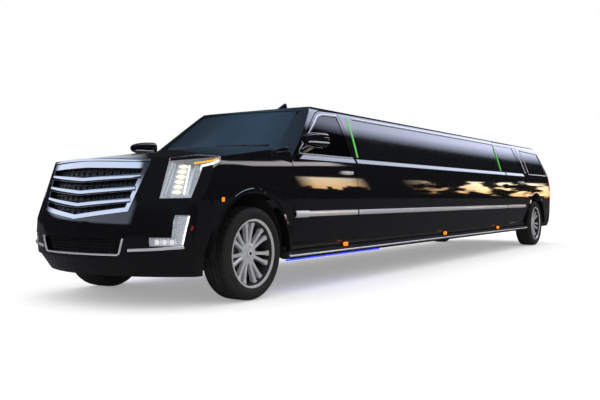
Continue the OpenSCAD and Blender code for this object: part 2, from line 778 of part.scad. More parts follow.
module running_board(side) hand(side) {
    x0 = xr + arch_r + 90;
    x1 = xf - arch_r - 40;
    front_prism([[half_width - 190, 395], [half_width - 190, 352], [half_width - 60, 318],
        [half_width - 4, 318], [half_width + 16, 332], [half_width + 18, 362], [half_width - 4, 384],
        [half_width - 60, 395]], x0, x1);
    // Brackets up to the sill
    for (i = [0:4]) translate([x0 + 150 + i * (x1 - x0 - 360) / 4, half_width - 170, 390])
        cube([60, 70, sill_z - 390 - rest_gap]);
    // Side marker lamps
    for (x = marker_x) translate([x, half_width - 50, 370]) cube([70, 40, 54]);
}
marker_x = [xf - 1600, (xf + xr) / 2, xr + 2100];

// Chassis
axle_r = 55;
axle_room = 75;
module chassis_frame() {
    // Rails, arched over the rear axle
    both() difference() {
        translate([x_tail + 260, rail_out - rail_w, rail_low])
            cube([x_nose - 240 - x_tail - 260, rail_w, rail_top - rail_low]);
        y_cylinder(axle_room, rail_out - rail_w - 10, rail_out + 10, xr, wheel_z);
    }
    for (i = [0:cross_count]) translate([xr + 500 + i * (wheelbase - 1100) / cross_count, -rail_out + 10, rail_low + 30])
        cube([90, 2 * rail_out - 20, 90]);
    for (x = [x_nose - 330, x_tail + 265]) translate([x, -rail_out + 10, rail_low + 20]) cube([80, 2 * rail_out - 20, 120]);
    // Hitch receiver
    difference() {
        translate([x_tail + 62, -40, rail_low + 40]) cube([220, 80, 80]);
        translate([x_tail + 50, -hitch / 2, rail_low + 80 - hitch / 2]) cube([200, hitch, hitch]);
        translate([x_tail + 62 + hitch_pin_x, -100, rail_low + 80]) rotate([-90, 0, 0])
            cylinder(r = hitch_pin_r, h = 200, $fn = 48);
    }
}
hitch = 51;
hitch_pin_r = 8.1;
hitch_pin_x = 64;
floor_half = 830;
dash_x = xf - 640;
part_x = xf - 2150;
module floor_pan() {
    x0 = x_tail + 300;
    x1 = xf - 520;
    difference() {
        union() {
            translate([x0, -floor_half, floor_z]) cube([x1 - x0, 2 * floor_half, floor_t]);
            // Bulkhead between engine and cabin
            translate([x1 - 40, -floor_half + 70, floor_z])
                cube([40, 2 * floor_half - 140, cowl_low - rest_gap - floor_z]);
            // Partition between driver and lounge, up to the walls
            intersection() {
                translate([part_x - 30, -1000, floor_z]) cube([60, 2000, 1500]);
                front_prism(concat(half_section(wall + 0.5), flip(half_section(wall + 0.5))), part_x - 100, part_x + 100);
            }
        }
        translate([part_x - 100, -420, 1280]) cube([200, 840, 330]);
        for (x = [xr]) both() y_cylinder(arch_r + 30, rail_out - 5, 1300, x, wheel_z);
        both() y_cylinder(arch_r + 30, rail_out - 5, 1300, xf, wheel_z);
    }
}
module wheel_liner(side, x, depth) hand(side) {
    difference() {
        y_cylinder(arch_r + 26, rail_out + rest_gap, flank_y(wheel_z + 20, depth) - 0.5, x, wheel_z);
        y_cylinder(arch_r + 12, rail_out + 14, 1300, x, wheel_z);
        y_cylinder(axle_room, rail_out - 10, rail_out + 40, x, wheel_z);
        translate([x - 700, 0, -400]) cube([1400, 1300, 400 + wheel_z + 10]);
    }
}
module engine_block() {
    translate([xf - 380, -330, rail_top + rest_gap]) cube([900, 660, 420]);
    translate([xf - 420, -270, rail_low + 40]) cube([860, 540, 130]);
    translate([xf - 60, -rail_out + 40, rail_top + rest_gap]) cube([120, 2 * rail_out - 80, 60]);
}
module front_suspension() {
    // Cross member bolted under the rails
    low = wheel_z - arm_z - 22;
    translate([xf - 110, -rail_out + 5, low]) cube([220, 2 * rail_out - 10, rail_low - rest_gap - low]);
    both() {
        difference() {
            union() {
                translate([xf - 60, rail_out - 60, wheel_z - arm_z - 22]) cube([120, king_y - rail_out + 60, 44]);
                translate([xf, king_y, wheel_z - arm_z - 22]) cylinder(r = 60, h = 44);
            }
            translate([xf, king_y, wheel_z - arm_z - 60]) cylinder(r = ball_r + run_fit, h = 120);
        }
    }
}
arm_z = 150;
king_y = 760;
ball_r = 18;
hub_y = wheel_y + 30;
spindle_y = wheel_y + 36;
module knuckle(side) hand(side) {
    translate([xf, king_y, wheel_z - arm_z - 30]) cylinder(r = ball_r, h = 120);
    translate([xf - 45, king_y - 38, wheel_z - arm_z + 22.5]) cube([90, 76, 2 * arm_z - 45]);
    y_cylinder(95, king_y - 20, hub_y - 90, xf, wheel_z);
    y_cylinder(spindle_r, king_y, spindle_y, xf, wheel_z);
}
module rear_axle() {
    y_cylinder(axle_r, -hub_y + 80, hub_y - 80, xr, wheel_z);
    both() y_cylinder(spindle_r, 500, spindle_y, xr, wheel_z);
    both() y_cylinder(95, hub_y - 130, hub_y - 90, xr, wheel_z);
    translate([xr, 0, wheel_z]) sphere(r = 135, $fn = 64);
    // Spring seats up to the rails
    both() translate([xr - 20, rail_out - rail_w, wheel_z])
        cube([40, rail_w, sqrt(axle_room * axle_room - 400) - rest_gap]);
}
// Wheel: columns are radius and offset from the wheel's centre plane
module tyre(x, side) hand(side) {
    translate([x, wheel_y, wheel_z]) rotate([-90, 0, 0]) rotate_extrude($fn = 128) polygon([
        [rim_d / 2 - 14, -tyre_w / 2 + 22], [rim_d / 2 + 20, -tyre_w / 2 + 4], [tyre_d / 2 - 62, -tyre_w / 2],
        [tyre_d / 2 - 22, -tyre_w / 2 + 14], [tyre_d / 2 - 6, -tyre_w / 2 + 34], [tyre_d / 2, -tyre_w / 2 + 70],
        [tyre_d / 2, tyre_w / 2 - 70], [tyre_d / 2 - 6, tyre_w / 2 - 34], [tyre_d / 2 - 22, tyre_w / 2 - 14],
        [tyre_d / 2 - 62, tyre_w / 2], [rim_d / 2 + 20, tyre_w / 2 - 4], [rim_d / 2 + 3.5, tyre_w / 2 - 22.5],
        [rim_d / 2 - 14, tyre_w / 2 - 22.5]]);
}
// Spoke: its face rises from hub to lip and it widens at both ends
spoke_in = 60;
spoke_out = rim_d / 2 - 28;
spoke_lean = 9.5;
spoke_face = [[spoke_in, 36], [spoke_out, 46], [spoke_out, 92], [spoke_out - 70, 83], [spoke_in + 60, 75],
    [spoke_in, 72]];
spoke_plan = [[spoke_in, -14.5], [spoke_in + 100, -10], [spoke_out - 50, -11], [spoke_out, -16], [spoke_out, 16],
    [spoke_out - 50, 11], [spoke_in + 100, 10], [spoke_in, 14.5]];
module spoke() {
    intersection() {
        translate([0, 40, 0]) rotate([90, 0, 0]) linear_extrude(80) polygon(spoke_face);
        linear_extrude(140) polygon(spoke_plan);
    }
}
module rim(x, side) hand(side) {
    translate([x, wheel_y, wheel_z]) rotate([-90, 0, 0]) {
        rotate_extrude($fn = 128) polygon([
            [rim_d / 2 - 40, -tyre_w / 2 + 24], [rim_d / 2 - 15, -tyre_w / 2 + 21.5], [rim_d / 2 - 15, tyre_w / 2 - 21.5],
            [rim_d / 2 + 2, tyre_w / 2 - 21], [rim_d / 2 + 2, tyre_w / 2 - 13], [rim_d / 2 - 16, tyre_w / 2 - 13],
            [rim_d / 2 - 30, tyre_w / 2 - 30], [rim_d / 2 - 40, tyre_w / 2 - 60]]);
        difference() {
            union() {
                translate([0, 0, 30]) cylinder(r = 92, h = 34);
                translate([0, 0, 60]) cylinder(r1 = 84, r2 = 60, h = 18);
                for (i = [0:spoke_pairs - 1], s = [-1, 1]) rotate([0, 0, i * 360 / spoke_pairs])
                    rotate([0, 0, s * spoke_lean]) spoke();
            }
            translate([0, 0, -100]) cylinder(r = spindle_r + run_fit, h = 142);
        }
        // Brake disc on the hub
        translate([0, 0, -2]) difference() {
            cylinder(r = 175, h = 28);
            translate([0, 0, -10]) cylinder(r = spindle_r + run_fit, h = 100);
        }
        difference() {
            cylinder(r = 88, h = 40);
            translate([0, 0, -10]) cylinder(r = spindle_r + run_fit, h = 100);
        }
    }
}
// Cabin
dash_l = 330;
dash_half = 790;
dash_low = 880;
console_w = 240;
console_h = 300;
module dashboard() {
    translate([dash_x - dash_l, -dash_half, dash_low]) rotate([90, 0, 90]) linear_extrude(dash_l) polygon([[0, 0],
        [2 * dash_half, 0], [2 * dash_half, 330], [dash_half + 410, 390], [dash_half - 410, 390], [0, 330]]);
    translate([dash_x - dash_l, -console_w / 2, floor_z + floor_t]) cube([dash_l, console_w, console_h]);
}
// Steering column, from the wheel's plane to the dashboard
column_l = 96.7;
module steering_wheel() {
    translate([dash_x - 430, 400, 1060]) rotate([0, -65, 0]) {
        rotate_extrude($fn = 64) translate([178, 0]) circle(r = 16, $fn = 24);
        translate([0, 0, -40]) cylinder(r = 60, h = 50);
        for (a = [0, 120, 240]) rotate([0, 0, a + 30]) translate([0, -16, -14]) cube([176, 32, 20]);
        translate([0, 0, -column_l]) cylinder(r = 28, h = column_l - 30);
    }
}
// Front seats: base, leaning back and headrest
seat_x = xf - 1740;
seat_in = 150;
seat_w = 500;
seat_l = 560;
seat_h = 170;
seat_back_t = 150;
seat_back_h = 760;
seat_lean = 14;
headrest = [90, 280, 190];
module front_seat(side) hand(side) {
    z = floor_z + floor_t + rest_gap;
    translate([seat_x, seat_in, z]) cube([seat_l, seat_w, seat_h]);
    translate([seat_x - 30, seat_in, z]) rotate([0, -seat_lean, 0]) cube([seat_back_t, seat_w, seat_back_h]);
    translate([seat_x - 220, seat_in + (seat_w - headrest.y) / 2, z + 700]) cube(headrest);
}
// Lounge benches along the right wall and across the rear
bench_deep = 560;
bench_h = 330;
bench_back_t = 140;
bench_back_h = 700;
rear_back_t = 150;
rear_back_h = 780;
bench_short = 1900;
module lounge_seat() {
    z = floor_z + floor_t + rest_gap;
    x0 = xr + 620;
    x1 = part_x - 320;
    translate([x0, -floor_half + 10, z]) cube([x1 - x0 - bench_short, bench_deep, bench_h]);
    translate([x0, -floor_half + 10, z]) cube([x1 - x0 - bench_short, bench_back_t, bench_back_h]);
    translate([xr + 590, -floor_half + 10, z]) cube([bench_deep, 2 * floor_half - 20, bench_h]);
    translate([xr + 590, -floor_half + 10, z]) cube([rear_back_t, 2 * floor_half - 20, rear_back_h]);
}

color("#26282b") chassis_frame();
color("#2d2f33") floor_pan();
color("#3a3d42") front_suspension();
color("#3a3d42") rear_axle();
color("#55595f") engine_block();
color("#1b1c1e") wheel_liner(1, xf, skin);  // wheel_liner_front_left
color("#1b1c1e") wheel_liner(-1, xf, skin);  // wheel_liner_front_right
color("#1b1c1e") wheel_liner(1, xr, wall);  // wheel_liner_rear_left
color("#1b1c1e") wheel_liner(-1, xr, wall);  // wheel_liner_rear_right
color("#0c0d10") body_side(1);  // body_side_left
color("#0c0d10") body_side(-1);  // body_side_right
color("#0c0d10") roof_panel();
color("#17181a") cowl_panel();
color("#0c0d10") fender(1);  // fender_left
color("#0c0d10") fender(-1);  // fender_right
color("#0c0d10") front_bumper();
color("#d8dade") grille();
color("#101113") grille_mesh();
color("#dfe4ea") headlamp(1);  // headlamp_left
color("#dfe4ea") headlamp(-1);  // headlamp_right
color("#dfe4ea") fog_lamp(1);  // fog_lamp_left
color("#dfe4ea") fog_lamp(-1);  // fog_lamp_right
color("#0c0d10") rear_bumper();
color("#a01318") tail_lamp(1);  // tail_lamp_left
color("#a01318") tail_lamp(-1);  // tail_lamp_right
color("#28343c") windshield();
color("#101418") side_pane(1, long_glass_out);  // side_glass_left
color("#101418") side_pane(-1, long_glass_out);  // side_glass_right
color("#101418") side_pane(1, quarter_out);  // quarter_glass_left
color("#101418") side_pane(-1, quarter_out);  // quarter_glass_right
color("#1c1d20") running_board(1);  // running_board_left
color("#1c1d20") running_board(-1);  // running_board_right
color("#1a1a1c") dashboard();
color("#1a1a1c") steering_wheel();
color("#2a2523") front_seat(1);  // front_seat_left
color("#2a2523") front_seat(-1);  // front_seat_right
color("#2a2523") lounge_seat();
color("#0c0d10") door(1, front_door_out, front_glass_out);  // door_front_left
color("#0c0d10") door(-1, front_door_out, front_glass_out);  // door_front_right
color("#0c0d10") door(1, rear_door_out, rear_glass_out);  // door_rear_left
color("#0c0d10") door(-1, rear_door_out, rear_glass_out);  // door_rear_right
color("#182026") side_pane(1, front_glass_out);  // door_glass_front_left
color("#182026") side_pane(-1, front_glass_out);  // door_glass_front_right
color("#101418") side_pane(1, rear_glass_out);  // door_glass_rear_left
color("#101418") side_pane(-1, rear_glass_out);  // door_glass_rear_right
color("#0c0d10") mirror_unit(1);  // mirror_left
color("#0c0d10") mirror_unit(-1);  // mirror_right
color("#0c0d10") hood();
color("#0c0d10") tailgate();
color("#101418") tailgate_glass();
color("#4a4d52") knuckle(1);  // knuckle_left
color("#4a4d52") knuckle(-1);  // knuckle_right
color("#141414") tyre(xf, 1);  // tyre_front_left
color("#d8dade") rim(xf, 1);  // rim_front_left
color("#141414") tyre(xf, -1);  // tyre_front_right
color("#d8dade") rim(xf, -1);  // rim_front_right
color("#141414") tyre(xr, 1);  // tyre_rear_left
color("#d8dade") rim(xr, 1);  // rim_rear_left
color("#141414") tyre(xr, -1);  // tyre_rear_right
color("#d8dade") rim(xr, -1);  // rim_rear_right
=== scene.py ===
"""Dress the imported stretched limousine: paint, chrome, glass, lamps, wheels, cabin and studio."""
import logging
import math
from dataclasses import dataclass
from enum import Enum
from typing import Any, Callable, ClassVar, Iterable, Sequence

import bmesh
import bpy
from mathutils import Matrix, Vector
from mathutils.bvhtree import BVHTree


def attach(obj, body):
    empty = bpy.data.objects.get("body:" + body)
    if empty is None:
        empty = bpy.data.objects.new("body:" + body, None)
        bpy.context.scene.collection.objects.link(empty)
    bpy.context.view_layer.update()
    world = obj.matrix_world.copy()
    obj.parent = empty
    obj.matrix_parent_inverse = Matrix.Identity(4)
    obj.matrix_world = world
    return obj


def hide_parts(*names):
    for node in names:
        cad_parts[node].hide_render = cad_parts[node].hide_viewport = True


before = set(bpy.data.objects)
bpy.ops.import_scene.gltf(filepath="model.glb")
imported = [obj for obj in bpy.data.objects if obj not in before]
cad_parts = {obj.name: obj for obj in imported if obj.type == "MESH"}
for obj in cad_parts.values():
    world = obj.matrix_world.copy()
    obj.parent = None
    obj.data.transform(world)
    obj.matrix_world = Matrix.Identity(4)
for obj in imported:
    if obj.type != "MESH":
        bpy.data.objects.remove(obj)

logging.basicConfig(level=logging.INFO, format="%(name)s: %(message)s")
LOG = logging.getLogger("limousine")
STRIP_CREASE = 50.0
WELD = 1e-6
FACET_WELD = 2e-5
Point = tuple[float, float, float]
Pair = tuple[float, float]
Color = tuple[float, float, float]
Stops = tuple[tuple[float, Color], ...]
Inputs = dict[str | int, Any]
SIDES: tuple[tuple[str, int], ...] = (("left", 1), ("right", -1))


class Grain(Enum):
    """Which fine pattern a finish carries."""

    SMOOTH = "smooth"
    PEBBLE = "pebble"
    HIDE = "hide"
    PILE = "pile"
    RIBBED = "ribbed"


@dataclass(frozen=True)
class Finish:
    """One surface finish; colours are linear, lengths in metres.

    Attributes:
        name: Material name.
        tone: Main colour.
        tint: Colour of the patches that break up the main colour.
        rough: Roughness in the smoothest and dullest patches.
        patch: Patches per metre.
        metal: Metallic weight.
        coat: Clear coat weight.
        coat_rough: Roughness of the clear coat.
        ior: Index of refraction.
        clear: Transmission weight.
        glow: Emission strength.
        glow_tone: Emission colour.
        grain: Fine pattern.
        grain_scale: Grains per metre.
        grain_lift: Bump strength of the grain.
        film: Amount of road film near the ground.
    """

    name: str
    tone: Color
    tint: Color
    rough: Pair = (0.3, 0.4)
    patch: float = 6.0
    metal: float = 0.0
    coat: float = 0.0
    coat_rough: float = 0.03
    ior: float = 1.5
    clear: float = 0.0
    glow: float = 0.0
    glow_tone: Color = (1.0, 1.0, 1.0)
    grain: Grain = Grain.SMOOTH
    grain_scale: float = 400.0
    grain_lift: float = 0.1
    film: float = 0.0


PAINT = Finish("gloss_black_paint", (0.0035, 0.0036, 0.0042), (0.0055, 0.0056, 0.0064), (0.02, 0.035), 3.0,
               coat=1.0, coat_rough=0.006, grain_scale=260.0, grain_lift=0.001, film=0.12)
CHROME = Finish("bright_chrome", (0.80, 0.81, 0.83), (0.72, 0.73, 0.76), (0.05, 0.11), 9.0, metal=1.0,
                grain_scale=300.0, grain_lift=0.006, film=0.25)
BLACK_GLASS = Finish("limousine_black_glass", (0.0035, 0.0042, 0.0045), (0.005, 0.006, 0.0065),
                     (0.015, 0.035), 2.0, coat=1.0, coat_rough=0.01)
TINTED_GLASS = Finish("tinted_cabin_glass", (0.05, 0.075, 0.09), (0.045, 0.068, 0.082), (0.005, 0.02), 2.0,
                      clear=1.0, ior=1.45)
# Painted sky reflection: the blue base on the share that is not clear stands in for sky mirrored in the
# windshield.
SCREEN_GLASS_PAINTED_SKY = Finish("windshield_glass_painted_sky", (0.050, 0.090, 0.140), (0.044, 0.080, 0.126), (0.005, 0.02), 2.0,
                      clear=0.6, ior=1.45)
LENS_CLEAR = Finish("clear_lamp_cover", (0.97, 0.98, 0.99), (0.94, 0.95, 0.97), (0.005, 0.02), 6.0, clear=1.0,
                    ior=1.35)
LENS_RED = Finish("red_lamp_cover", (0.30, 0.006, 0.008), (0.24, 0.004, 0.006), (0.05, 0.10), 8.0, coat=1.0,
                  grain=Grain.RIBBED, grain_scale=90.0, grain_lift=0.05)
LAMP_WHITE = Finish("white_light_pipe", (0.85, 0.87, 0.88), (0.78, 0.80, 0.82), (0.2, 0.3), 20.0, glow=1.5,
                    glow_tone=(0.93, 0.96, 1.0))
LAMP_WARM = Finish("led_lens_glow", (0.9, 0.86, 0.7), (0.8, 0.75, 0.55), (0.1, 0.2), 20.0, glow=1.1,
                   glow_tone=(1.0, 0.93, 0.68))
LAMP_AMBER = Finish("amber_lamp", (0.85, 0.18, 0.01), (0.7, 0.13, 0.01), (0.1, 0.2), 20.0, glow=1.3,
                    glow_tone=(1.0, 0.20, 0.008))
LAMP_GREEN = Finish("green_strip_light", (0.10, 0.55, 0.06), (0.08, 0.45, 0.05), (0.2, 0.3), 12.0, glow=0.20,
                    glow_tone=(0.10, 0.70, 0.05))
LAMP_BLUE = Finish("blue_sill_light", (0.03, 0.04, 0.8), (0.02, 0.03, 0.6), (0.2, 0.3), 12.0, glow=2.2,
                   glow_tone=(0.03, 0.05, 1.0))
LAMP_RED = Finish("red_reflector", (0.45, 0.01, 0.01), (0.35, 0.008, 0.008), (0.1, 0.2), 20.0, coat=1.0,
                  grain=Grain.RIBBED, grain_scale=200.0, grain_lift=0.1)
TRIM = Finish("moulded_dark_plastic", (0.014, 0.014, 0.015), (0.022, 0.022, 0.024), (0.42, 0.56), 12.0,
              grain=Grain.PEBBLE, grain_scale=700.0, grain_lift=0.12, film=0.7)
MESH_BLACK = Finish("satin_black_mesh", (0.006, 0.006, 0.007), (0.010, 0.010, 0.011), (0.28, 0.40), 20.0,
                    film=0.3)
FRAME_STEEL = Finish("coated_frame_steel", (0.018, 0.019, 0.020), (0.030, 0.028, 0.026), (0.45, 0.62), 5.0,
                     metal=0.3, grain=Grain.PEBBLE, grain_scale=160.0, grain_lift=0.2, film=0.9)
CAST = Finish("cast_iron", (0.10, 0.10, 0.105), (0.14, 0.12, 0.10), (0.5, 0.7), 14.0, metal=0.8,
              grain=Grain.PEBBLE, grain_scale=260.0, grain_lift=0.35, film=0.6)
ALLOY = Finish("machined_alloy", (0.55, 0.56, 0.57), (0.45, 0.45, 0.46), (0.25, 0.38), 18.0, metal=1.0,
               grain=Grain.RIBBED, grain_scale=380.0, grain_lift=0.03, film=0.3)
# Painted light: the reflector's glow stands in for light that the clear lamp cover keeps from it.
BOWL_PAINTED_GLOW = Finish("lamp_reflector_painted_glow", (0.80, 0.82, 0.85), (0.66, 0.68, 0.71), (0.22, 0.34), 30.0, metal=0.3,
              glow=0.10, glow_tone=(0.90, 0.94, 1.0), grain=Grain.RIBBED, grain_scale=160.0, grain_lift=0.10)
# Painted light: this chrome's glow stands in for light that the clear lamp cover keeps from the bezels.
CHROME_PAINTED_GLOW = Finish("lamp_chrome_painted_glow", (0.82, 0.84, 0.87), (0.70, 0.72, 0.75), (0.12, 0.20), 30.0, metal=0.5,
                     glow=0.30, glow_tone=(0.92, 0.95, 1.0))
# Painted light: the fog lamps are unlit, and this lens glow stands in for their brightness.
FOG_LENS_PAINTED_GLOW = Finish("unlit_fog_lens_painted_glow", (0.8, 0.8, 0.8), (0.7, 0.7, 0.7), (0.1, 0.2), 20.0, glow=0.75,
                  glow_tone=(1.0, 0.98, 0.93))
LAMP_YELLOW = Finish("turn_light_pipe", (0.9, 0.45, 0.06), (0.8, 0.38, 0.04), (0.1, 0.2), 20.0, glow=0.95,
                     glow_tone=(1.0, 0.52, 0.07))
BRIGHT = Finish("polished_bright_trim", (0.88, 0.89, 0.92), (0.80, 0.81, 0.84), (0.10, 0.16), 9.0, metal=0.5,
                coat=0.8, coat_rough=0.03, grain_scale=300.0, grain_lift=0.006, film=0.2)
STEP = Finish("ribbed_step_rubber", (0.006, 0.006, 0.0065), (0.010, 0.010, 0.010), (0.80, 0.92), 16.0,
              grain=Grain.RIBBED, grain_scale=120.0, grain_lift=0.2, film=0.3)
RUBBER = Finish("tyre_rubber", (0.012, 0.012, 0.012), (0.020, 0.020, 0.019), (0.55, 0.72), 22.0,
                grain=Grain.PEBBLE, grain_scale=900.0, grain_lift=0.10, film=0.5)
HIDE = Finish("dark_seat_leather", (0.020, 0.016, 0.014), (0.030, 0.024, 0.020), (0.36, 0.48), 10.0,
              grain=Grain.HIDE, grain_scale=420.0, grain_lift=0.22)
CARPET = Finish("cabin_carpet", (0.020, 0.020, 0.022), (0.032, 0.032, 0.034), (0.85, 0.95), 30.0,
                grain=Grain.PILE, grain_scale=900.0, grain_lift=0.5)
PIANO = Finish("dash_soft_plastic", (0.012, 0.012, 0.013), (0.018, 0.018, 0.019), (0.45, 0.58), 12.0,
               grain=Grain.HIDE, grain_scale=600.0, grain_lift=0.14)


def find(tree: bpy.types.NodeTree, kind: str) -> bpy.types.Node:
    """Return a tree's first node of a type."""
    return next(node for node in tree.nodes if node.type == kind)


def feed(tree: bpy.types.NodeTree, node: bpy.types.Node, inputs: Inputs) -> None:
    """Set a node's inputs, and link those that are given a socket.

    Args:
        tree: The node's tree.
        node: The node.
        inputs: A value or an output socket for each input.
    """
    for name, value in inputs.items():
        if isinstance(value, bpy.types.NodeSocket):
            tree.links.new(value, node.inputs[name])
        else:
            node.inputs[name].default_value = value


def add(tree: bpy.types.NodeTree, kind: str, inputs: Inputs | None = None, **settings: Any) -> bpy.types.Node:
    """Add a shader node.

    Args:
        tree: Tree that takes the node.
        kind: Node type without ShaderNode before it.
        inputs: A value or an output socket for each input.
        **settings: The node's own attributes, set before its inputs.

    Returns:
        The new node.
    """
    node = tree.nodes.new(f"ShaderNode{kind}")
    for name, value in settings.items():
        setattr(node, name, value)
    feed(tree, node, inputs or {})
    return node


def reckon(tree: bpy.types.NodeTree, operation: str, *values: Any) -> bpy.types.NodeSocket:
    """Return the result of a math node that is fed with values or sockets."""
    return add(tree, "Math", dict(enumerate(values)), operation=operation).outputs["Value"]


def blend(tree: bpy.types.NodeTree, way: str, one: bpy.types.NodeSocket, two: bpy.types.NodeSocket
          ) -> bpy.types.NodeSocket:
    """Return two colours multiplied or added."""
    mix = add(tree, "Mix", {"Factor": 1.0, "A": one, "B": two}, data_type="RGBA", blend_type=way)
    return mix.outputs["Result"]


class Workshop:
    """Makes each finish once, as a node material built on shared groups."""

    bump_depth: float = 0.001
    soil: tuple[float, ...] = (0.16, 0.14, 0.12, 1.0)
    soil_cover: float = 0.10
    soil_dull: float = 0.18

    def __init__(self) -> None:
        """Build the shared node groups."""
        self.made: dict[str, bpy.types.Material] = {}
        self.patches = self._patch_group()
        self.film = self._film_group()
        self.grains = self._grain_group()

    @staticmethod
    def _group(name: str, inputs: dict[str, str], outputs: dict[str, str]
               ) -> tuple[bpy.types.NodeTree, bpy.types.bpy_prop_collection, bpy.types.Node]:
        """Start a shader group.

        Args:
            name: Group name.
            inputs: Short type of each input, such as Float, by its name.
            outputs: The same for the outputs.

        Returns:
            The tree, the sockets that it is given and its output node.
        """
        tree = bpy.data.node_groups.new(name, "ShaderNodeTree")
        for way, sockets in (("INPUT", inputs), ("OUTPUT", outputs)):
            for label, kind in sockets.items():
                tree.interface.new_socket(label, in_out=way, socket_type=f"NodeSocket{kind}")
        return tree, tree.nodes.new("NodeGroupInput").outputs, tree.nodes.new("NodeGroupOutput")

    def _patch_group(self) -> bpy.types.NodeTree:
        """Build soft patches of colour and roughness, and return the group."""
        tree, given, target = self._group(
            "colour_patches",
            {"Vector": "Vector", "Scale": "Float", "Tone": "Color", "Tint": "Color", "Smooth": "Float",
             "Dull": "Float"},
            {"Color": "Color", "Roughness": "Float"})
        noise = add(tree, "TexNoise", {"Vector": given["Vector"], "Scale": given["Scale"], "Detail": 4.0})
        patch = noise.outputs["Fac"]
        spread = add(tree, "MapRange", {"Value": patch, "From Min": 0.3, "From Max": 0.7,
                                        "To Min": given["Smooth"], "To Max": given["Dull"]})
        mix = add(tree, "Mix", {"Factor": patch, "A": given["Tone"], "B": given["Tint"]}, data_type="RGBA")
        feed(tree, target, {"Color": mix.outputs["Result"], "Roughness": spread.outputs["Result"]})
        return tree

    def _film_group(self) -> bpy.types.NodeTree:
        """Build the road film that lies thickest near the ground, and return the group."""
        tree, given, target = self._group(
            "road_film", {"Vector": "Vector", "Color": "Color", "Roughness": "Float", "Amount": "Float"},
            {"Color": "Color", "Roughness": "Float"})
        above = add(tree, "SeparateXYZ", {"Vector": given["Vector"]}).outputs["Z"]
        height = add(tree, "MapRange", {"Value": above, "From Min": 0.15, "From Max": 0.75,
                                        "To Min": 1.0, "To Max": 0.0})
        noise = add(tree, "TexNoise", {"Vector": given["Vector"], "Scale": 7.0, "Detail": 6.0})
        mask = reckon(tree, "MULTIPLY", height.outputs["Result"], noise.outputs["Fac"])
        amount = reckon(tree, "MULTIPLY", mask, given["Amount"])
        soiled = reckon(tree, "MULTIPLY", amount, self.soil_cover)
        mix = add(tree, "Mix", {"Factor": soiled, "A": given["Color"], "B": self.soil}, data_type="RGBA")
        rougher = reckon(tree, "MULTIPLY", amount, self.soil_dull)
        dull = add(tree, "Math", {0: rougher, 1: given["Roughness"]}, use_clamp=True)
        feed(tree, target, {"Color": mix.outputs["Result"], "Roughness": dull.outputs["Value"]})
        return tree

    def _grain_group(self) -> bpy.types.NodeTree:
        """Build the pebbled, creased, piled and ribbed heights, and return the group."""
        tree, given, target = self._group("fine_grain", {"Vector": "Vector", "Scale": "Float"},
                                          {kind.value: "Float" for kind in Grain})
        place = {"Vector": given["Vector"], "Scale": given["Scale"]}
        noise = add(tree, "TexNoise", place | {"Detail": 2.0}).outputs["Fac"]
        cells = add(tree, "TexVoronoi", place, feature="DISTANCE_TO_EDGE").outputs["Distance"]
        pile = add(tree, "TexNoise", place | {"Detail": 8.0, "Roughness": 0.8}).outputs["Fac"]
        ribs = add(tree, "TexWave", place, bands_direction="Z").outputs["Fac"]
        heights = {Grain.SMOOTH: noise, Grain.PEBBLE: noise, Grain.HIDE: cells, Grain.PILE: pile,
                   Grain.RIBBED: ribs}
        feed(tree, target, {kind.value: height for kind, height in heights.items()})
        return tree

    def get(self, finish: Finish) -> bpy.types.Material:
        """Return the material of a finish, made on first use.

        Args:
            finish: The finish wanted.

        Returns:
            Its material.
        """
        if finish.name not in self.made:
            self.made[finish.name] = self._make(finish)
        return self.made[finish.name]

    def _make(self, finish: Finish) -> bpy.types.Material:
        """Build one material.

        Args:
            finish: The finish to build.

        Returns:
            The new material.
        """
        material = bpy.data.materials.new(finish.name)
        material.use_nodes = True
        tree = material.node_tree
        shader = find(tree, "BSDF_PRINCIPLED")
        place = add(tree, "TexCoord").outputs["Object"]
        smooth, dull = finish.rough
        look = add(tree, "Group", {"Vector": place, "Scale": finish.patch, "Tone": (*finish.tone, 1.0),
                                   "Tint": (*finish.tint, 1.0), "Smooth": smooth, "Dull": dull},
                   node_tree=self.patches)
        if finish.film:
            look = add(tree, "Group", {"Vector": place, "Color": look.outputs["Color"],
                                       "Roughness": look.outputs["Roughness"], "Amount": finish.film},
                       node_tree=self.film)
        feed(tree, shader, {"Base Color": look.outputs["Color"], "Roughness": look.outputs["Roughness"],
                            "Metallic": finish.metal, "IOR": finish.ior, "Transmission Weight": finish.clear,
                            "Coat Weight": finish.coat, "Coat Roughness": finish.coat_rough})
        if finish.glow:
            feed(tree, shader, {"Emission Color": (*finish.glow_tone, 1.0), "Emission Strength": finish.glow})
        if finish.clear == 0.0:
            grain = add(tree, "Group", {"Vector": place, "Scale": finish.grain_scale}, node_tree=self.grains)
            bump = add(tree, "Bump", {"Strength": finish.grain_lift, "Distance": self.bump_depth,
                                      "Height": grain.outputs[finish.grain.value]})
            feed(tree, shader, {"Normal": bump.outputs["Normal"]})
        return material


SHOP = Workshop()


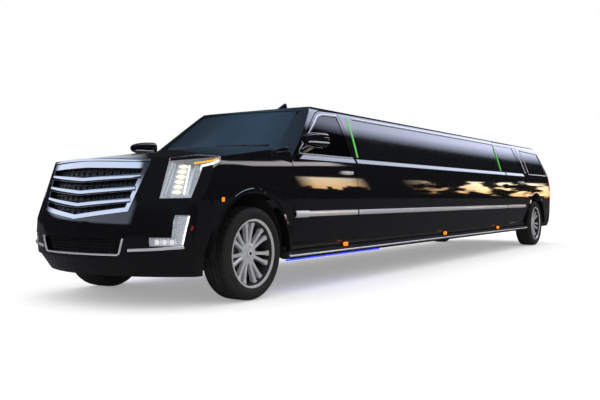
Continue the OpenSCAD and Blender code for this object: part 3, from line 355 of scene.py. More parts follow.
@dataclass
class Form:
    """The body's main surfaces, as the part's source gives them, in metres."""

    front_axle: float = 4.295
    rear_axle: float = -4.235
    nose: float = 5.405
    tail: float = -5.405
    half_width: float = 1.012
    flank_r: float = 2.2
    flank_z: float = 0.88
    belt_z: float = 1.3
    window_top: float = 1.75
    tumble: float = 0.195
    green_r: float = 4.0
    roof_height: float = 1.89
    nose_r: float = 1.5
    corner_r: float = 0.45
    corner_turn: float = 42.0
    wheel_y: float = 0.8725
    wheel_z: float = 0.4075
    nose_line: tuple[Pair, ...] = ((0.198, 0.150), (0.402, 0.018), (0.560, 0.0), (0.710, 0.010),
                                   (1.212, 0.165), (1.272, 0.1835))

    def flank_y(self, z: float, depth: float = 0.0) -> float:
        """Return the flank's half width at a height."""
        rise = math.sqrt((self.flank_r - depth) ** 2 - (z - self.flank_z) ** 2)
        return self.half_width - self.flank_r + rise

    def band_y(self, z: float, depth: float = 0.0) -> float:
        """Return the window band's half width at a height."""
        belt = Vector((self.flank_y(self.belt_z), self.belt_z))
        top = Vector((belt.x - self.tumble, self.window_top))
        along = (top - belt).normalized()
        reach = math.sqrt(self.green_r ** 2 - (top - belt).length_squared / 4)
        centre = (belt + top) / 2 + reach * Vector((-along.y, along.x))
        return centre.x + math.sqrt((self.green_r - depth) ** 2 - (z - centre.y) ** 2)

    def side_y(self, z: float, depth: float = 0.0) -> float:
        """Return the half width of flank or window band, whichever is the skin at a height."""
        return min(self.flank_y(z, depth), self.band_y(z, depth))

    def nose_x(self, y: float, z: float, depth: float = 0.0) -> float:
        """Return how far forward the nose skin reaches.

        Args:
            y: Distance from the centre line.
            z: Height.
            depth: Distance below the surface.

        Returns:
            The forward coordinate of the skin.
        """
        line = self.nose_line
        back = next((a[1] + (b[1] - a[1]) * (z - a[0]) / (b[0] - a[0]) for a, b in zip(line, line[1:])
                     if a[0] <= z <= b[0]), line[0][1] if z < line[0][0] else line[-1][1])
        axis = self.nose - self.nose_r
        reach = axis + math.sqrt((self.nose_r - depth - back) ** 2 - y * y)
        corner_y = self.half_width - self.corner_r
        corner_x = axis + math.sqrt((self.nose_r - self.corner_r) ** 2 - corner_y ** 2)
        across, radius, turn = abs(y) - corner_y, self.corner_r - depth, math.radians(self.corner_turn)
        flat = (radius + (corner_x * math.cos(turn) - across * math.sin(turn))) / math.cos(turn)
        reach = min(reach, flat)
        if across > radius * math.sin(turn):
            reach = min(reach, corner_x + math.sqrt(max(radius ** 2 - across ** 2, 0.0)))
        return reach

    def nose_point(self, y: float, z: float, lift: float = 0.0) -> Vector:
        """Return a point over the nose skin."""
        return Vector((self.nose_x(y, z, -lift), y, z))

    def nose_out(self, at: Vector) -> Vector:
        """Return the nose skin's outward direction at a point."""
        step = 0.003
        across = self.nose_point(at.y + step, at.z) - self.nose_point(at.y - step, at.z)
        upward = self.nose_point(at.y, at.z + step) - self.nose_point(at.y, at.z - step)
        return across.cross(upward).normalized()


FORM = Form()


def publish(name: str, mesh: bmesh.types.BMesh, finish: Finish, body: str,
            smooth: float = 35.0, replaces: Sequence[str] = ()) -> bpy.types.Object:
    """Turn a bmesh into a piece that rides on a body.

    Args:
        name: Piece name.
        mesh: The mesh, which is freed.
        finish: Its finish.
        body: Body that carries the piece.
        smooth: Angle in degrees above which an edge stays sharp.
        replaces: CAD nodes that the piece stands for.

    Returns:
        The new object.
    """
    bmesh.ops.remove_doubles(mesh, verts=mesh.verts, dist=WELD)
    bmesh.ops.recalc_face_normals(mesh, faces=mesh.faces)
    data = bpy.data.meshes.new(name)
    mesh.to_mesh(data)
    mesh.free()
    data.polygons.foreach_set("use_smooth", [True] * len(data.polygons))
    data.set_sharp_from_angle(angle=math.radians(smooth))
    piece = bpy.data.objects.new(name, data)
    bpy.context.scene.collection.objects.link(piece)
    data.materials.append(SHOP.get(finish))
    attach(piece, body)
    if replaces:
        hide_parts(*replaces)
    LOG.info("%s: %d faces on %s", name, len(data.polygons), body)
    return piece


def ring(mesh: bmesh.types.BMesh, points: Iterable[Vector]) -> list[bmesh.types.BMEdge]:
    """Add a closed ring of points.

    Args:
        mesh: Mesh that takes the ring.
        points: Places of the ring's vertices in order.

    Returns:
        The ring's edges.
    """
    verts = [mesh.verts.new(p) for p in points]
    return [mesh.edges.new(pair) for pair in zip(verts, verts[1:] + verts[:1])]


def loft(mesh: bmesh.types.BMesh, rings: Sequence[Sequence[Vector]], closed: bool = False) -> None:
    """Bridge rings of points into one skin.

    Args:
        mesh: Mesh that takes the skin.
        rings: Rings with equal numbers of points.
        closed: Whether the last ring meets the first; open skins are capped.
    """
    loops = [ring(mesh, points) for points in rings]
    for one, two in zip(loops, loops[1:] + (loops[:1] if closed else [])):
        bmesh.ops.bridge_loops(mesh, edges=one + two)
    if not closed:
        for end in (loops[0], loops[-1]):
            bmesh.ops.contextual_create(mesh, geom=end)


def sweep(mesh: bmesh.types.BMesh, path: Sequence[Vector], outward: Callable[[Vector], Vector],
          section: Sequence[Pair], closed: bool = False) -> None:
    """Carry a section along a path that lies on a surface.

    Args:
        mesh: Mesh that takes the strip.
        path: Points of the path.
        outward: Gives the surface's outward direction at a point.
        section: Points of the section, across the path and out of the surface.
        closed: Whether the path is a closed ring.
    """
    rings, count = [], len(path)
    for i, at in enumerate(path):
        before = path[i - 1] if i or closed else at
        after = path[(i + 1) % count] if i < count - 1 or closed else at
        along = (after - before).normalized()
        normal = outward(at)
        normal = (normal - along * normal.dot(along)).normalized()
        across = along.cross(normal)
        rings.append([at + across * a + normal * b for a, b in section])
    loft(mesh, rings, closed)


def strip_section(width: float, height: float, foot: float = 0.002) -> list[Pair]:
    """Return a strip's crowned section.

    Args:
        width: Full width.
        height: Height over the surface.
        foot: Depth that the strip sinks into what carries it.

    Returns:
        Points across and out.
    """
    half, low = width / 2, height * 0.45
    return [(-half, -foot), (-half, low), (-half * 0.72, height * 0.9), (0.0, height),
            (half * 0.72, height * 0.9), (half, low), (half, -foot)]


def rod_section(radius: float, points: int = 10) -> list[Pair]:
    """Return a round section."""
    return [(radius * math.cos(2 * math.pi * i / points), radius * math.sin(2 * math.pi * i / points))
            for i in range(points)]


def spaced(points: Sequence[Pair], step: float) -> list[Pair]:
    """Return an outline with extra points, so that it can follow a curved surface.

    Args:
        points: Corners of an open outline.
        step: Longest distance between points.

    Returns:
        The finer outline.
    """
    out: list[Pair] = []
    for a, b in zip(points, points[1:]):
        count = max(1, math.ceil(math.dist(a, b) / step))
        out += [(a[0] + (b[0] - a[0]) * i / count, a[1] + (b[1] - a[1]) * i / count) for i in range(count)]
    return [*out, points[-1]]


def stations(first: float, last: float, step: float) -> list[float]:
    """Return even places from first to last, no further apart than step."""
    return [place for place, _ in spaced([(first, 0.0), (last, 0.0)], step)]


def lay(name: str, path: Sequence[Vector], outward: Callable[[Vector], Vector], section: Sequence[Pair],
        finish: Finish, body: str, closed: bool = False) -> None:
    """Publish one strip that lies along a path.

    Args:
        name: Piece name.
        path: Points of the path.
        outward: Gives the surface's outward direction at a point.
        section: Points of the section, across the path and out of the surface.
        finish: Its finish.
        body: Body that carries it.
        closed: Whether the path is a closed ring.
    """
    mesh = bmesh.new()
    sweep(mesh, path, outward, section, closed)
    publish(name, mesh, finish, body, STRIP_CREASE)


def block(mesh: bmesh.types.BMesh, size: Point, place: Matrix, bevel: float, segments: int = 2
          ) -> list[bmesh.types.BMVert]:
    """Add a bevelled block.

    Args:
        mesh: Mesh that takes the block.
        size: Lengths of its sides.
        place: Where it goes.
        bevel: Width of its bevelled edges.
        segments: Steps of the bevel.

    Returns:
        The block's vertices.
    """
    part = bmesh.new()
    bmesh.ops.create_cube(part, size=1.0, matrix=Matrix.Diagonal((*size, 1.0)))
    bmesh.ops.bevel(part, geom=part.edges[:], offset=bevel, segments=segments, profile=0.5, affect="EDGES",
                    material=-1)
    bmesh.ops.transform(part, matrix=place, verts=part.verts)
    return merge(mesh, part)


def merge(mesh: bmesh.types.BMesh, part: bmesh.types.BMesh) -> list[bmesh.types.BMVert]:
    """Move a part's mesh into another mesh.

    Args:
        mesh: Mesh that takes the part.
        part: The part, which is freed.

    Returns:
        The vertices that arrived.
    """
    data = bpy.data.meshes.new("part")
    part.to_mesh(data)
    part.free()
    count = len(mesh.verts)
    mesh.from_mesh(data)
    bpy.data.meshes.remove(data)
    mesh.verts.ensure_lookup_table()
    return mesh.verts[count:]


def facing(at: Vector, out: Vector) -> Matrix:
    """Return a place whose local X points outward and Z stays upright."""
    x = out.normalized()
    y = Vector((0.0, 0.0, 1.0)).cross(x).normalized()
    return Matrix.Translation(at) @ Matrix((x, y, x.cross(y))).transposed().to_4x4()


@dataclass
class Wheel:
    """One wheel: tyre with tread, split-spoke rim, hub and brake disc."""

    label: str
    x: float
    side: int
    steps: int = 120
    spoke_pairs: int = 7
    pair_angle: float = 9.5
    nuts: int = 6
    nut_circle: float = 0.060
    nut_out: float = 0.079
    shoulder: Pair = (0.072, 0.112)
    tread_from: float = 0.39
    pitch: int = 3
    sipe_wall: float = 0.0008
    sipe_depth: float = 0.0055
    tyre_half: tuple[Pair, ...] = (
        (0.2845, 0.1195), (0.3012, 0.1200), (0.3110, 0.1315), (0.3170, 0.1382), (0.3215, 0.1372),
        (0.3260, 0.1398), (0.3460, 0.1420), (0.3500, 0.1412), (0.3520, 0.1424), (0.3650, 0.1392),
        (0.3780, 0.1330), (0.3890, 0.1238), (0.3975, 0.1140), (0.4020, 0.1060), (0.4042, 0.0960),
        (0.4056, 0.0800), (0.4060, 0.0700), (0.3985, 0.0685), (0.3985, 0.0600), (0.4066, 0.0585),
        (0.4070, 0.0320), (0.3990, 0.0305), (0.3990, 0.0200), (0.4073, 0.0185), (0.4075, 0.0))
    drum: tuple[Pair, ...] = (
        (0.2560, -0.1180), (0.2830, -0.1205), (0.2830, 0.1100), (0.2790, 0.1150), (0.2730, 0.1060),
        (0.2660, 0.0860), (0.2600, 0.0560))
    lip: tuple[Pair, ...] = (
        (0.2830, 0.1100), (0.2830, 0.1205), (0.2995, 0.1212), (0.3000, 0.1280), (0.2960, 0.1298),
        (0.2890, 0.1292), (0.2840, 0.1262), (0.2800, 0.1180), (0.2790, 0.1150))
    hub: tuple[Pair, ...] = (
        (0.0, 0.0905), (0.0260, 0.0900), (0.0340, 0.0872), (0.0370, 0.0790), (0.0400, 0.0765),
        (0.0700, 0.0765), (0.0860, 0.0740), (0.0930, 0.0660), (0.0940, 0.0300), (0.0880, 0.0280))
    disc: tuple[Pair, ...] = (
        (0.0500, 0.0000), (0.1720, 0.0000), (0.1740, 0.0020), (0.1740, 0.0240), (0.1720, 0.0260),
        (0.1000, 0.0260), (0.0900, 0.0290), (0.0880, 0.0400), (0.0500, 0.0400))

    @property
    def centre(self) -> Vector:
        """Return the wheel's centre."""
        return Vector((self.x, self.side * FORM.wheel_y, FORM.wheel_z))

    def lathe(self, mesh: bmesh.types.BMesh, profile: Sequence[Pair], closed: bool) -> None:
        """Spin a profile of radius and outward offset about the axle.

        Args:
            mesh: Mesh that takes the turned shape.
            profile: The profile's points.
            closed: Whether the profile is a closed ring.
        """
        verts = [mesh.verts.new(self.centre + Vector((0.0, self.side * o, r))) for r, o in profile]
        edges = [mesh.edges.new(pair) for pair in zip(verts, verts[1:] + (verts[:1] if closed else []))]
        bmesh.ops.spin(mesh, geom=verts + edges, cent=self.centre, axis=(0.0, 1.0, 0.0), angle=2 * math.pi,
                       steps=self.steps, use_merge=True)

    def tyre(self) -> None:
        """Build the tyre with grooves and shoulder blocks."""
        mesh = bmesh.new()
        other = [(r, -o) for r, o in reversed(self.tyre_half[:-1])]
        self.lathe(mesh, [*self.tyre_half, *other], True)
        bmesh.ops.remove_doubles(mesh, verts=mesh.verts, dist=1e-5)
        bmesh.ops.recalc_face_normals(mesh, faces=mesh.faces)
        cuts, (inner, outer) = [], self.shoulder
        for face in mesh.faces:
            mid = face.calc_center_median() - self.centre
            turn = math.atan2(mid.x, mid.z) / (2 * math.pi) * self.steps
            outside = inner < abs(mid.y) < outer and mid.xz.length > self.tread_from
            if outside and round(turn - 0.5) % self.pitch == 0:
                cuts.append(face)
        bmesh.ops.inset_region(mesh, faces=cuts, thickness=self.sipe_wall, depth=-self.sipe_depth,
                               use_even_offset=True)
        publish(f"tyre_tread_{self.label}", mesh, RUBBER, f"wheel_{self.label}", 24.0,
                (f"tyre_{self.label}",))

    def spoke(self) -> bmesh.types.BMesh:
        """Return one dished spoke, pointing up."""
        mesh, rings = bmesh.new(), []
        for i in range(9):
            t = i / 8
            radius, top = 0.060 + 0.212 * t, 0.072 + 0.020 * t ** 1.8
            waist, flare = math.sin(math.pi * min(t * 1.15, 1.0)), max(0.0, t - 0.75) / 0.25
            half = 0.0170 - 0.0025 * waist + 0.009 * flare
            depth = 0.036 + 0.010 * t
            shape = ((-half, -depth), (-half, -0.006), (-half * 0.72, -0.001), (0.0, 0.0),
                     (half * 0.72, -0.001), (half, -0.006), (half, -depth))
            rings.append([self.centre + Vector((a, self.side * (top + b), radius)) for a, b in shape])
        loft(mesh, rings)
        return mesh

    def rim(self) -> None:
        """Build lip, spokes, hub, nuts, drum and brake disc; the drum's dark finish is painted shade inside
        the wheel.
        """
        mesh = bmesh.new()
        self.lathe(mesh, self.lip, True)
        self.lathe(mesh, self.hub, True)
        for i in range(self.spoke_pairs):
            for lean in (-self.pair_angle, self.pair_angle):
                turn = math.radians(360.0 * i / self.spoke_pairs + lean)
                verts = merge(mesh, self.spoke())
                bmesh.ops.rotate(mesh, verts=verts, cent=self.centre, matrix=Matrix.Rotation(turn, 3, "Y"))
        for i in range(self.nuts):
            turn = 2 * math.pi * i / self.nuts
            at = self.centre + Vector((self.nut_circle * math.sin(turn), self.side * self.nut_out,
                                       self.nut_circle * math.cos(turn)))
            place = Matrix.Translation(at) @ Matrix.Rotation(-self.side * math.pi / 2, 4, "X")
            bmesh.ops.create_cone(mesh, cap_ends=True, segments=6, radius1=0.0105, radius2=0.0095,
                                  depth=0.016, matrix=place)
        publish(f"split_spoke_rim_{self.label}", mesh, BRIGHT, f"wheel_{self.label}", 32.0,
                (f"rim_{self.label}",))
        # The drum takes dark coated steel as painted shade, so the openings between the spokes read black.
        drum, plate = bmesh.new(), bmesh.new()
        self.lathe(drum, self.drum, True)
        publish(f"rim_drum_painted_shade_{self.label}", drum, FRAME_STEEL, f"wheel_{self.label}", 32.0,
                (f"rim_{self.label}",))
        self.lathe(plate, self.disc, True)
        publish(f"brake_disc_{self.label}", plate, CAST, f"wheel_{self.label}")

    def build(self) -> None:
        """Build the whole wheel."""
        self.tyre()
        self.rim()


class SideTrim:
    """Bright strips, lamps and handles along one flank."""

    handle_z: float = 1.15
    moulding_z: float = 0.735

    def __init__(self, label: str, side: int) -> None:
        """Keep which flank this is.

        Args:
            label: left or right.
            side: 1 for left, -1 for right.
        """
        self.label, self.side = label, side

    def point(self, x: float, z: float, lift: float = 0.0) -> Vector:
        """Return a point over the flank or window band."""
        return Vector((x, self.side * (FORM.side_y(z) + lift), z))

    def outward(self, at: Vector) -> Vector:
        """Return the skin's outward direction at a point."""
        rise = (FORM.side_y(at.z + 0.004) - FORM.side_y(at.z - 0.004)) / 0.008
        return Vector((0.0, self.side, -rise)).normalized()

    def strip(self, name: str, outline: Sequence[Pair], body: str, width: float, height: float,
              lift: float = 0.0, closed: bool = False, finish: Finish = BRIGHT) -> None:
        """Lay one strip on the skin.

        Args:
            name: Piece name without its side.
            outline: Corners in side view, forward and up.
            body: Body without its side, or body.
            width: Strip width.
            height: Strip height.
            lift: Distance of its foot from the skin.
            closed: Whether it runs round a window.
            finish: Its finish.
        """
        corners = [*outline, outline[0]] if closed else list(outline)
        path = [self.point(x, z, lift) for x, z in spaced(corners, 0.12)]
        lay(f"{name}_{self.label}", path[:-1] if closed else path, self.outward, strip_section(width, height),
            finish, self.carrier(body), closed)

    def carrier(self, body: str) -> str:
        """Return the main body, or a door's body on this side."""
        return body if body == "body" else f"{body}_{self.label}"

    def prism(self, mesh: bmesh.types.BMesh, shape: Sequence[Pair], places: Sequence[float]) -> None:
        """Carry a section along the car.

        Args:
            mesh: Mesh that takes the shape.
            shape: Half width and height of the section's points.
            places: Where it stands along the car.
        """
        loft(mesh, [[Vector((x, self.side * y, z)) for y, z in shape] for x in places])

    def windows(self) -> None:
        """Frame the windows in bright strip."""
        front, rear = FORM.front_axle, FORM.rear_axle
        door = ((-1.774, 1.313), (-0.800, 1.313), (-0.770, 1.318), (-0.764, 1.332), (-0.780, 1.352),
                (-1.350, 1.738), (-1.446, 1.763), (-1.774, 1.777))
        self.strip("front_window_frame", [(front + x, z) for x, z in door], "door_front", 0.012, 0.006)
        quarter = ((-0.862, 1.300), (0.342, 1.300), (0.312, 1.746), (-0.780, 1.725))
        self.strip("quarter_window_frame", [(rear + x, z) for x, z in quarter], "body", 0.014, 0.006,
                   closed=True)
        self.band("belt_band", rear + 1.700, front - 1.838, "body")
        self.band("front_belt_band", front - 1.790, front - 0.700, "door_front")
        self.band("rear_belt_band", rear + 0.690, rear + 1.645, "door_rear")
        self.strip("roof_drip_strip", [(rear + 1.72, 1.777), (front - 2.10, 1.777)], "body", 0.012, 0.006)
        self.strip("rear_pillar_strip", [(rear + 0.53, 1.312), (rear + 0.53, 1.770)], "body", 0.020, 0.006)

    def band(self, name: str, back: float, ahead: float, body: str) -> None:
        """Lay the upward-facing bright band under the windows.

        Args:
            name: Piece name without its side.
            back: Rear end.
            ahead: Front end.
            body: Body without its side, or body.
        """
        mesh = bmesh.new()
        foot, top = FORM.side_y(1.258), FORM.side_y(1.303)
        shape = ((foot - 0.002, 1.250), (foot + 0.016, 1.253), (foot + 0.020, 1.260), (top + 0.001, 1.303),
                 (top - 0.003, 1.304))
        self.prism(mesh, shape, stations(back, ahead, 0.20))
        publish(f"{name}_{self.label}", mesh, PAINT, self.carrier(body), 30.0)

    def mouldings(self) -> None:
        """Lay the bright moulding along the lower flank."""
        front, rear, z = FORM.front_axle, FORM.rear_axle, self.moulding_z
        for name, back, ahead, body, width, height in (
                ("front_door_moulding", front - 1.802, front - 0.628, "door_front", 0.050, 0.013),
                ("rear_door_moulding", rear + 0.673, rear + 1.652, "door_rear", 0.050, 0.013),
                ("moulding_tip", front - 0.850, front - 0.628, "door_front", 0.064, 0.017),
                ("flank_moulding", rear + 1.692, front - 1.832, "body", 0.050, 0.013)):
            self.strip(name, [(back, z), (ahead, z)], body, width, height)

    def handles(self) -> None:
        """Set a bright handle on each door."""
        for door, x in (("door_front", FORM.front_axle - 1.585), ("door_rear", FORM.rear_axle + 0.890)):
            mesh = bmesh.new()
            y = FORM.flank_y(self.handle_z)
            rings = []
            for i in range(13):
                t = i / 12
                swell = math.sin(math.pi * min(max(t, 0.02), 0.98)) ** 0.2
                reach = 0.018 + 0.028 * swell
                high, low = 0.011 + 0.011 * swell, 0.012 + 0.012 * swell
                shape = ((0.0, -low), (reach * 0.85, -low * 0.8), (reach, 0.0), (reach * 0.85, high * 0.75),
                         (0.0, high))
                rings.append([Vector((x - 0.110 + 0.220 * t, self.side * (y - 0.004 + a), self.handle_z + b))
                              for a, b in shape])
            loft(mesh, rings)
            publish(f"{door}_handle_{self.label}", mesh, BRIGHT, f"{door}_{self.label}", 45.0)

    def board(self) -> None:
        """Dress the running board: bright line, sill panel, blue sill light and marker lamps."""
        front, rear = FORM.front_axle - 0.565, FORM.rear_axle + 0.615
        out, down = Vector((0.0, self.side, 0.25)).normalized(), Vector((0.0, 0.0, -1.0))
        line = [Vector((x, self.side * (FORM.half_width + 0.0185), 0.352))
                for x in (rear + 0.02, front + 0.066)]
        lay(f"board_line_{self.label}", line, lambda _: out, strip_section(0.016, 0.006), BRIGHT, "body")
        sill = bmesh.new()
        shape = ((0.900, 0.398), (0.962, 0.398), (0.972, 0.408), (0.972, 0.436), (0.900, 0.436))
        self.prism(sill, shape, stations(rear + 0.02, front + 0.060, 0.5))
        tip = ((-0.170, 0.390), (-0.170, 0.356), (-0.060, 0.322), (-0.006, 0.322), (0.013, 0.335),
               (0.014, 0.361), (-0.006, 0.381), (-0.060, 0.390))
        self.prism(sill, [(FORM.half_width + y, z) for y, z in tip], (front - 0.030, front + 0.070))
        publish(f"sill_panel_{self.label}", sill, TRIM, "body", 40.0)
        under = [Vector((x, self.side * (FORM.half_width - 0.020), 0.314))
                 for x in (front - 1.75, front + 0.060)]
        lay(f"sill_light_{self.label}", under, lambda _: down, strip_section(0.030, 0.010), LAMP_BLUE, "body")
        for i, x in enumerate((FORM.front_axle - 1.6, (FORM.front_axle + FORM.rear_axle) / 2,
                               FORM.rear_axle + 2.1)):
            mesh = bmesh.new()
            at = Vector((x + 0.035, self.side * (FORM.half_width - 0.010), 0.4065))
            block(mesh, (0.074, 0.028, 0.042), Matrix.Translation(at), 0.012, 4)
            publish(f"marker_lamp_{i + 1}_{self.label}", mesh, LAMP_AMBER, "body")

    def strips_of_light(self) -> None:
        """Set the slanted green lamps at both ends of the long window."""
        front, rear = FORM.front_axle, FORM.rear_axle
        ends = (("front", [(front - 1.885, 1.322), (front - 1.985, 1.768)]),
                ("rear", [(rear + 1.866, 1.322), (rear + 1.746, 1.700)]))
        for where, line in ends:
            self.strip(f"green_light_{where}", line, "body", 0.034, 0.005, -0.001, finish=LAMP_GREEN)

    def build(self) -> None:
        """Build all trim of this flank."""
        self.windows()
        self.mouldings()
        self.handles()
        self.board()
        self.strips_of_light()


def touch(node: str, start: Vector, way: Vector) -> tuple[Vector, Vector]:
    """Return where a ray first meets a CAD node, and the surface's direction there.

    Args:
        node: CAD node name.
        start: Start of the ray.
        way: Direction of the ray.

    Returns:
        The point and its outward normal.
    """
    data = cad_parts[node].data
    tree = BVHTree.FromPolygons([v.co for v in data.vertices], [tuple(p.vertices) for p in data.polygons])
    point, normal, _, _ = tree.ray_cast(start, way.normalized())
    if point is None:
        raise ValueError(f"no surface of {node} from {tuple(start)}")
    return point, normal if normal.dot(way) < 0 else -normal


@dataclass
class Nose:
    """Mesh and bright strips of the front face."""

    mesh_depth: float = 0.040
    grille_half: tuple[Pair, ...] = ((0.0, 0.722), (0.510, 0.784), (0.590, 1.130))
    grille_top: float = 1.135
    intake: tuple[Pair, ...] = ((-0.490, 0.572), (-0.450, 0.452), (-0.432, 0.438), (0.432, 0.438),
                                (0.450, 0.452), (0.490, 0.572))
    bars: tuple[Point, ...] = ((1.066, 0.030, 0.545), (0.968, 0.038, 0.525), (0.874, 0.046, 0.506))
    fog_strip: tuple[Pair, ...] = ((0.526, 0.477), (0.720, 0.488), (0.912, 0.503))

    def grille_low(self, y: float) -> float:
        """Return the grille opening's lower edge at a distance from the centre."""
        return next(a[1] + (b[1] - a[1]) * (abs(y) - a[0]) / (b[0] - a[0])
                    for a, b in zip(self.grille_half, self.grille_half[1:]) if abs(y) <= b[0])

    def lattice(self, name: str, uprights: Sequence[Point], rails: Sequence[Point]) -> None:
        """Weave a square mesh on the nose's curve.

        Args:
            name: Piece name.
            uprights: Distance from centre, low end and high end of each upright.
            rails: Height, right end and left end of each rail.
        """
        mesh = bmesh.new()
        thin = [(-0.0022, -0.002), (-0.0022, 0.005), (0.0022, 0.005), (0.0022, -0.002)]
        for y, low, high in uprights:
            path = [FORM.nose_point(y, z, -self.mesh_depth) for z in stations(low, high, 0.09)]
            sweep(mesh, path, FORM.nose_out, thin)
        for z, right, left in rails:
            path = [FORM.nose_point(y, z, -self.mesh_depth) for y in stations(right, left, 0.06)]
            sweep(mesh, path, FORM.nose_out, thin)
        publish(name, mesh, MESH_BLACK, "body")

    def meshes(self) -> None:
        """Fill grille and intake with mesh."""
        uprights = [(0.04 * i, self.grille_low(0.04 * i) + 0.034, self.grille_top - 0.012)
                    for i in range(-13, 14)]
        rails = [(0.790 + 0.040 * i, -0.478 - 0.0083 * i, 0.478 + 0.0083 * i) for i in range(9)]
        self.lattice("grille_lattice", uprights, rails)
        self.lattice("intake_lattice", [(0.026 * i, 0.452, 0.556) for i in range(-16, 17)],
                     [(0.470 + 0.025 * i, -0.435 - 0.008 * i, 0.435 + 0.008 * i) for i in range(4)])

    def trims(self) -> None:
        """Lay the bright frame, bars, header and strips of the nose, its reflectors and the arch markers."""
        path = [FORM.nose_point(y, z) for y, z in spaced(self.intake, 0.05)]
        lay("intake_frame", path, FORM.nose_out, strip_section(0.015, 0.010), BRIGHT, "body")
        bars = bmesh.new()
        for high, drop, reach in self.bars:
            path = [FORM.nose_point(y, high - drop * (1 - abs(y) / reach), 0.004)
                    for y, _ in spaced([(-reach, 0.0), (0.0, 0.0), (reach, 0.0)], 0.05)]
            sweep(bars, path, FORM.nose_out, strip_section(0.044, 0.008))
        publish("grille_bars", bars, CHROME, "body", 60.0)
        path = [FORM.nose_point(y, 1.203 - 0.05 * y * y) for y in stations(-0.588, 0.588, 0.05)]
        lay("header_trim", path, FORM.nose_out, strip_section(0.034, 0.007), CHROME, "body")
        for label, side in SIDES:
            path = [FORM.nose_point(side * y, z) for y, z in spaced(self.fog_strip, 0.03)]
            lay(f"fog_strip_{label}", path if side > 0 else path[::-1], FORM.nose_out,
                strip_section(0.024, 0.014), BRIGHT, "body")
            path = [FORM.nose_point(side * y, z) for y, z in ((0.946, 0.634), (0.949, 0.650), (0.951, 0.668))]
            lay(f"corner_reflector_{label}", path, FORM.nose_out, strip_section(0.013, 0.004), LAMP_RED,
                "body")
            lamp = bmesh.new()
            at, out = touch(f"fender_{label}", Vector((FORM.front_axle + 0.425, side * 1.4, 0.878)),
                            Vector((0.0, -side, 0.0)))
            block(lamp, (0.008, 0.030, 0.034), facing(at + out * 0.002, out), 0.003)
            publish(f"arch_marker_{label}", lamp, LAMP_AMBER, "body")

    def build(self) -> None:
        """Build all details of the front face."""
        self.meshes()
        self.trims()


@dataclass
class Lamp:
    """A lamp in the nose: clear cover and bowl from its solid, and what shines inside."""

    label: str
    side: int
    kind: str
    cover_near: float = 0.006
    wall: float = 0.003
    brow: tuple[Point, ...] = ()
    unit_depth: float = 0.046
    unit_lean: float = 0.35

    def outer(self, face: bmesh.types.BMFace) -> bool:
        """Return whether a face of the lamp solid lies on the body's surface."""
        if face.normal.z > 0.8:
            return True
        for vert in face.verts:
            y, z = abs(vert.co.y), vert.co.z
            ahead = abs(vert.co.x - FORM.nose_x(y, z, 0.003)) < self.cover_near
            if not ahead and abs(y - FORM.side_y(z, 0.003)) > self.cover_near:
                return False
        return True

    def shells(self) -> None:
        """Split copies of the lamp solid into cover, bowl and, where it has one, painted brow."""
        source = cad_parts[f"{self.kind}_{self.label}"]
        # The bowl's glow is painted light in place of the light that the clear cover keeps out.
        parts = [("cover", LENS_CLEAR, "lamp_glass"), ("bowl", BOWL_PAINTED_GLOW, "chrome")]
        for part, finish, slot in parts + ([("brow", PAINT, "paint")] if self.brow else []):
            mesh = bmesh.new()
            mesh.from_mesh(source.data)
            bmesh.ops.remove_doubles(mesh, verts=mesh.verts, dist=FACET_WELD)
            drop = [face for face in mesh.faces if self.outer(face) == (part == "bowl")]
            bmesh.ops.delete(mesh, geom=drop, context="FACES")
            if self.brow and part != "bowl":
                bmesh.ops.bisect_plane(mesh, geom=[*mesh.verts, *mesh.edges, *mesh.faces],
                                       plane_co=self.brow[0], plane_no=self.brow[1],
                                       clear_outer=part == "cover", clear_inner=part == "brow")
            bmesh.ops.solidify(mesh, geom=mesh.faces[:], thickness=self.wall)
            publish(f"{self.kind}_{part}_{self.label}", mesh, finish, "body", 30.0, (source.name,))

    def line(self, mesh: bmesh.types.BMesh, points: Sequence[Point], width: float, height: float) -> None:
        """Run a rounded bar inside the lamp.

        Args:
            mesh: Mesh that takes the bar.
            points: Distance from centre, height and depth under the skin of each corner.
            width: Bar width.
            height: Bar height.
        """
        path = []
        for a, b in zip(points, points[1:]):
            path += [FORM.nose_point(self.side * (a[0] + (b[0] - a[0]) * t), a[1] + (b[1] - a[1]) * t,
                                     -(a[2] + (b[2] - a[2]) * t)) for t in (0.0, 0.2, 0.4, 0.6, 0.8)]
        path.append(FORM.nose_point(self.side * points[-1][0], points[-1][1], -points[-1][2]))
        sweep(mesh, path, FORM.nose_out, strip_section(width, height))

    def unit(self, bezel: bmesh.types.BMesh, glow: bmesh.types.BMesh, y: float, z: float, size: Pair) -> None:
        """Set one lens in its bezel.

        Args:
            bezel: Mesh that takes the bezel.
            glow: Mesh that takes the lens.
            y: Distance from the centre line.
            z: Height.
            size: Width and height of the unit.
        """
        at = FORM.nose_point(self.side * y, z, -self.unit_depth)
        place = facing(at, FORM.nose_out(at) + Vector((self.unit_lean, 0.0, 0.0)))
        block(bezel, (0.040, size[0], size[1]), place, 0.005)
        part = bmesh.new()
        bmesh.ops.create_uvsphere(part, u_segments=20, v_segments=10, radius=0.5,
                                  matrix=place @ Matrix.Translation((0.019, 0.0, 0.0))
                                  @ Matrix.Diagonal((0.020, size[0] * 0.82, size[1] * 0.78, 1.0)))
        merge(glow, part)


